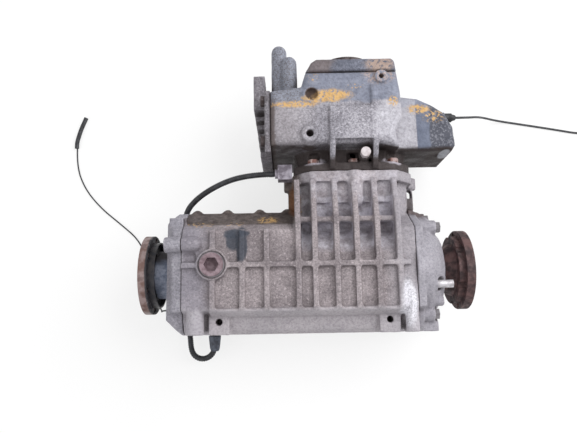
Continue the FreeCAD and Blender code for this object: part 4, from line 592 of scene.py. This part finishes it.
def housingMetal():
    f = castMetal("silver housing", (0.46, 0.447, 0.49), (0.30, 0.29, 0.325), 0.85)
    # painted light: a paler patch on the right part of the housing
    bright = f.patch((122, 196, 60), (26, 34, 40), 0.8, 0.4)
    f.lay(bright, (0.60, 0.59, 0.64), 0.5)
    leftSide = f.beyond("X", 4, -50, 14)
    f.lay(leftSide, (0.30, 0.27, 0.28), 0.5)
    paint = f.mix(f.ramp(f.noise(140.0, 4.0), 0.4, 0.65, 0.0, 0.5), (0.20, 0.215, 0.275), (0.29, 0.305, 0.37))
    upper = f.both(f.beyond("Y", 222, 5, 9), f.beyond("X", -8, 6))
    f.lay(upper, paint)
    ears = f.both(f.beyond("X", -3, -6), f.beyond("Y", 221, 6, 8))
    earTone = f.mix(f.ramp(f.grain, 0.45, 0.6), (0.27, 0.285, 0.34), (0.16, 0.155, 0.175))
    f.lay(ears, earTone)
    bulgeLight = f.both(f.beyond("X", 130, 4), f.beyond("X", 156, -2), f.beyond("Z", 30, 4))
    f.lay(bulgeLight, (0.50, 0.49, 0.53), 0.5)
    bulgePaint = f.both(f.beyond("X", 156, 1.5), f.beyond("Y", 221, -6, 6))
    f.lay(bulgePaint, (0.14, 0.158, 0.215))
    bulgeDark = f.beyond("X", 174, 3, 4)
    darkTone = f.mix(f.ramp(f.noise(300.0, 3.0), 0.5, 0.62), (0.07, 0.073, 0.095), (0.20, 0.205, 0.24))
    f.lay(bulgeDark, darkTone)
    weatherShadeAndHighlight(f, (0.06, 0.045, 0.045), (0.07, 0.05, 0.05), (0.58, 0.57, 0.62))
    # painted shade and dirt: near-black brown on the underside and skirt beneath the lip
    undercutShadeAndDirt = f.both(f.beyond("Y", 164, -4, 3), f.beyond("Z", 66, -5))
    f.lay(undercutShadeAndDirt, (0.042, 0.03, 0.028), 0.95)
    leftWall = f.both(f.beyond("X", -38, -4, 4), f.beyond("Y", 225, -20, 6))
    f.lay(leftWall, (0.10, 0.07, 0.06), 0.7)
    for middle, reach in (((14, 146, 50), (17, 7, 16)), ((124, 146, 50), (17, 7, 16))):
        f.lay(f.patch(middle, reach, 0.4, 0.4), (0.40, 0.37, 0.41))
    oval = f.patch((196, 158, 30), (8, 4, 20), 0.3, 0.1)
    f.lay(oval, (0.36, 0.37, 0.40))
    plug = f.patch((12, 233, 72), (9, 9, 10), 0.3, 0.1)
    f.lay(plug, (0.085, 0.055, 0.045))
    scuffs = f.splash((103, 262, 72), (20, 14, 14), 0.5)
    f.lay(scuffs, (0.50, 0.38, 0.33), 0.7)
    for middle, reach, cover in (
        ((38, 231, 72), (24, 8, 14), 0.57), ((22, 226, 72), (24, 5, 14), 0.52),
        ((-8, 219, 72), (24, 4.5, 14), 0.53),
        ((-32, 219, 66), (12, 4, 14), 0.46), ((121, 221, 72), (7, 7, 12), 0.5),
        ((160, 219, 46), (14, 6, 14), 0.52), ((181, 208, 46), (14, 8, 14), 0.46),
        ((14, 256, 72), (8, 8, 10), 0.42), ((68, 243, 74), (14, 4, 10), 0.4),
    ):
        f.lay(f.splash(middle, reach, cover), yellow)
    return closeMetal(f)


def frontCoverMetal():
    f = castMetal("painted front cover", (0.20, 0.21, 0.265), (0.13, 0.14, 0.18), 0.6)
    weatherShadeAndHighlight(f, (0.05, 0.045, 0.05), (0.06, 0.055, 0.06), (0.34, 0.35, 0.40))
    corner = f.patch((24, 278, 60), (22, 14, 30), 0.5, 0.6)
    f.lay(corner, (0.17, 0.13, 0.12), 0.7)
    scuffs = f.splash((106, 276, 70), (20, 10, 14), 0.55)
    f.lay(scuffs, (0.50, 0.36, 0.28), 0.7)
    return closeMetal(f)


def sideCoverMetal():
    f = castMetal("mottled side cover", (0.25, 0.235, 0.26), (0.16, 0.145, 0.155), 0.7)
    mottle = f.ramp(f.noise(240.0, 3.0, 0.6), 0.56, 0.66, 0.0, 0.6)
    f.lay(mottle, (0.42, 0.40, 0.43))
    weatherShadeAndHighlight(f, (0.05, 0.035, 0.035), (0.045, 0.03, 0.03), (0.34, 0.32, 0.35))
    return closeMetal(f)


caseMaterial, couplingMaterial = caseMetal(), housingMetal()
coverMaterial = coverMetal()
for piece, material in (
    (mainCase, caseMaterial), (leftCover, coverMaterial), (rightCover, coverMaterial),
    (couplingCase, couplingMaterial), (frontCover, frontCoverMetal()), (sideCover, sideCoverMetal()),
):
    piece.data.materials.append(material)
print("castings finished")


def plainFinish(name, light, dark, metallic, rough, scale=120.0, bump=0.2):
    f = Finish(name)
    tone = f.mix(f.ramp(f.noise(scale), 0.35, 0.65), light, dark)
    f.feed(f.shader.inputs["Base Color"], tone)
    f.shader.inputs["Metallic"].default_value = metallic
    f.feed(f.shader.inputs["Roughness"], f.ramp(f.noise(scale * 2), 0.3, 0.7, rough, min(1.0, rough + 0.25)))
    f.feed(f.shader.inputs["Normal"], f.bumps(f.noise(scale * 4), bump, 0.0005))
    return f.material


def leftFlangeFinish():
    # a scuffed pinkish rim round a hub full of black grease
    f = Finish("left flange")
    rim = f.mix(f.ramp(f.noise(90.0, 5.0), 0.4, 0.62), (0.25, 0.185, 0.18), (0.14, 0.08, 0.068))
    dark = f.ramp(f.noise(70.0, 5.0), 0.5, 0.62, 0.0, 0.6)
    rim = f.mix(dark, rim, (0.09, 0.05, 0.045))
    grease = f.mix(f.ramp(f.noise(160.0, 4.0), 0.55, 0.7), (0.02, 0.018, 0.022), (0.12, 0.11, 0.12))
    f.tone = f.mix(f.beyond("X", -210.5, 1.5, 1), rim, grease)
    f.feed(f.shader.inputs["Base Color"], f.tone)
    f.feed(f.shader.inputs["Roughness"], f.ramp(f.noise(120.0), 0.3, 0.7, 0.35, 0.8))
    f.feed(f.shader.inputs["Normal"], f.bumps(f.noise(260.0, 4.0), 0.6, 0.001))
    return f.material


rust = plainFinish("rusty forging", (0.115, 0.06, 0.058), (0.035, 0.02, 0.022), 0.1, 0.55, 90.0, 0.6)
rustyBolt = plainFinish("rusty bolts", (0.42, 0.33, 0.32), (0.18, 0.08, 0.065), 0.3, 0.5, 160.0)
darkBolt = plainFinish("grimy bolts", (0.11, 0.09, 0.09), (0.05, 0.035, 0.035), 0.3, 0.6)
studSteel = plainFinish("bright stud", (0.62, 0.60, 0.63), (0.38, 0.36, 0.38), 0.5, 0.4)
plugIron = plainFinish("red brown plug", (0.27, 0.20, 0.225), (0.15, 0.10, 0.115), 0.1, 0.5, 140.0, 0.4)
washerGrey = plainFinish("dull washer", (0.25, 0.235, 0.25), (0.16, 0.15, 0.16), 0.3, 0.6)
blackPlastic = plainFinish("black conduit", (0.035, 0.036, 0.042), (0.015, 0.015, 0.018), 0.0, 0.45)
bootRubber = plainFinish("blue grey boot", (0.10, 0.115, 0.15), (0.045, 0.05, 0.065), 0.0, 0.5)
paleNylon = plainFinish("dusty nylon", (0.42, 0.39, 0.45), (0.16, 0.14, 0.17), 0.0, 0.6, 110.0)
breatherFinish = plainFinish("pale breather", (0.58, 0.53, 0.55), (0.36, 0.31, 0.31), 0.1, 0.5, 130.0)
gearSteel = plainFinish("ground steel", (0.45, 0.45, 0.46), (0.32, 0.32, 0.33), 0.9, 0.3)
ironFinish = plainFinish("turned iron", (0.3, 0.3, 0.31), (0.2, 0.2, 0.2), 0.8, 0.45)
bronze = plainFinish("bronze", (0.5, 0.33, 0.16), (0.38, 0.24, 0.12), 0.9, 0.35)
sealRubber = plainFinish("seal rubber", (0.015, 0.015, 0.022), (0.03, 0.03, 0.04), 0.0, 0.5)
greasy = plainFinish("greasy sheet", (0.014, 0.014, 0.02), (0.045, 0.04, 0.042), 0.2, 0.3)
slotFinishes = {
    "rusty_forging": rust,
    "fastener_steel": rustyBolt,
    "black_plastic": blackPlastic,
    "gear_steel": gearSteel,
    "carrier_iron": ironFinish,
    "bearing_bronze": bronze,
    "seal_rubber": sealRubber,
    "shield_sheet": greasy,
    "cast_case": caseMaterial,
    "cast_housing": couplingMaterial,
}
nodeFinishes = {
    "left_output_flange": leftFlangeFinish(),
    "side_cover_bolts": darkBolt,
    "input_cover_bolts": darkBolt,
    "input_flange": darkBolt,
    "right_cover_stud": studSteel,
    "filler_plug": plugIron,
    "filler_plug_washer": washerGrey,
    "neck_connector": paleNylon,
    "breather_cap": breatherFinish,
    "left_cover_bolts": washerGrey,
    "right_cover_bolts": washerGrey,
}
for row in frame["record"]["subparts"]:
    data = nodes[row["node"]].data
    data.materials.clear()
    data.materials.append(nodeFinishes.get(row["node"], slotFinishes[row["material_slot"]]))
for piece in cords:
    piece.data.materials.append(blackPlastic)
sensorBoot.data.materials.append(bootRubber)
print("finishes given")

# Floor and lights

studio = {
    "floorSize": 6.0,
    "floorHeight": -0.0002,
    "key": 31.0,
    "keySize": 1.6,
    "keyPlace": (1.1, 0.5, 1.3),
    "fill": 8.0,
    "fillSize": 1.4,
    "fillPlace": (-1.2, -0.6, 1.5),
    "target": (0, 0, 0.05),
    "world": 0.64,
    "glow": 0.72,  # share of the floor that is seen as plain white
}


def makeFloor():
    bpy.ops.object.select_all(action="DESELECT")
    bpy.ops.mesh.primitive_plane_add(size=studio["floorSize"], location=(0, 0, studio["floorHeight"]))
    floor = bpy.context.object
    floor.name = "floor"
    f = Finish("pale floor")
    f.shader.inputs["Base Color"].default_value = (0.9, 0.9, 0.9, 1)
    f.shader.inputs["Roughness"].default_value = 0.9
    glow = f.add("Emission", Color=(1, 1, 1, 1), Strength=1.0)
    seen = f.add("LightPath")
    mixer = f.add("MixShader")
    rays = f.math("ADD", seen.outputs["Is Camera Ray"], seen.outputs["Is Glossy Ray"])
    rays = f.math("ADD", rays, seen.outputs["Is Transmission Ray"])
    f.feed(mixer.inputs[0], f.math("MULTIPLY", rays, studio["glow"]))
    f.feed(mixer.inputs[1], f.shader.outputs[0])
    f.feed(mixer.inputs[2], glow.outputs[0])
    f.feed(f.tree.nodes["Material Output"].inputs["Surface"], mixer.outputs[0])
    floor.data.materials.append(f.material)


def areaLamp(name, place, power, size):
    data = bpy.data.lights.new(name, "AREA")
    data.energy = power
    data.size = size
    lamp = bpy.data.objects.new(name, data)
    lamp.location = place
    lamp.rotation_euler = (Vector(studio["target"]) - Vector(place)).to_track_quat("-Z", "Y").to_euler()
    bpy.context.scene.collection.objects.link(lamp)


makeFloor()
areaLamp("key", studio["keyPlace"], studio["key"], studio["keySize"])
areaLamp("fill", studio["fillPlace"], studio["fill"], studio["fillSize"])
world = bpy.data.worlds.new("studio")
world.use_nodes = True
world.node_tree.nodes["Background"].inputs["Color"].default_value = (1, 1, 1, 1)
world.node_tree.nodes["Background"].inputs["Strength"].default_value = studio["world"]
bpy.context.scene.world = world
bpy.context.scene.view_settings.view_transform = "Standard"
print("floor and lights set")

bpy.context.view_layer.update()
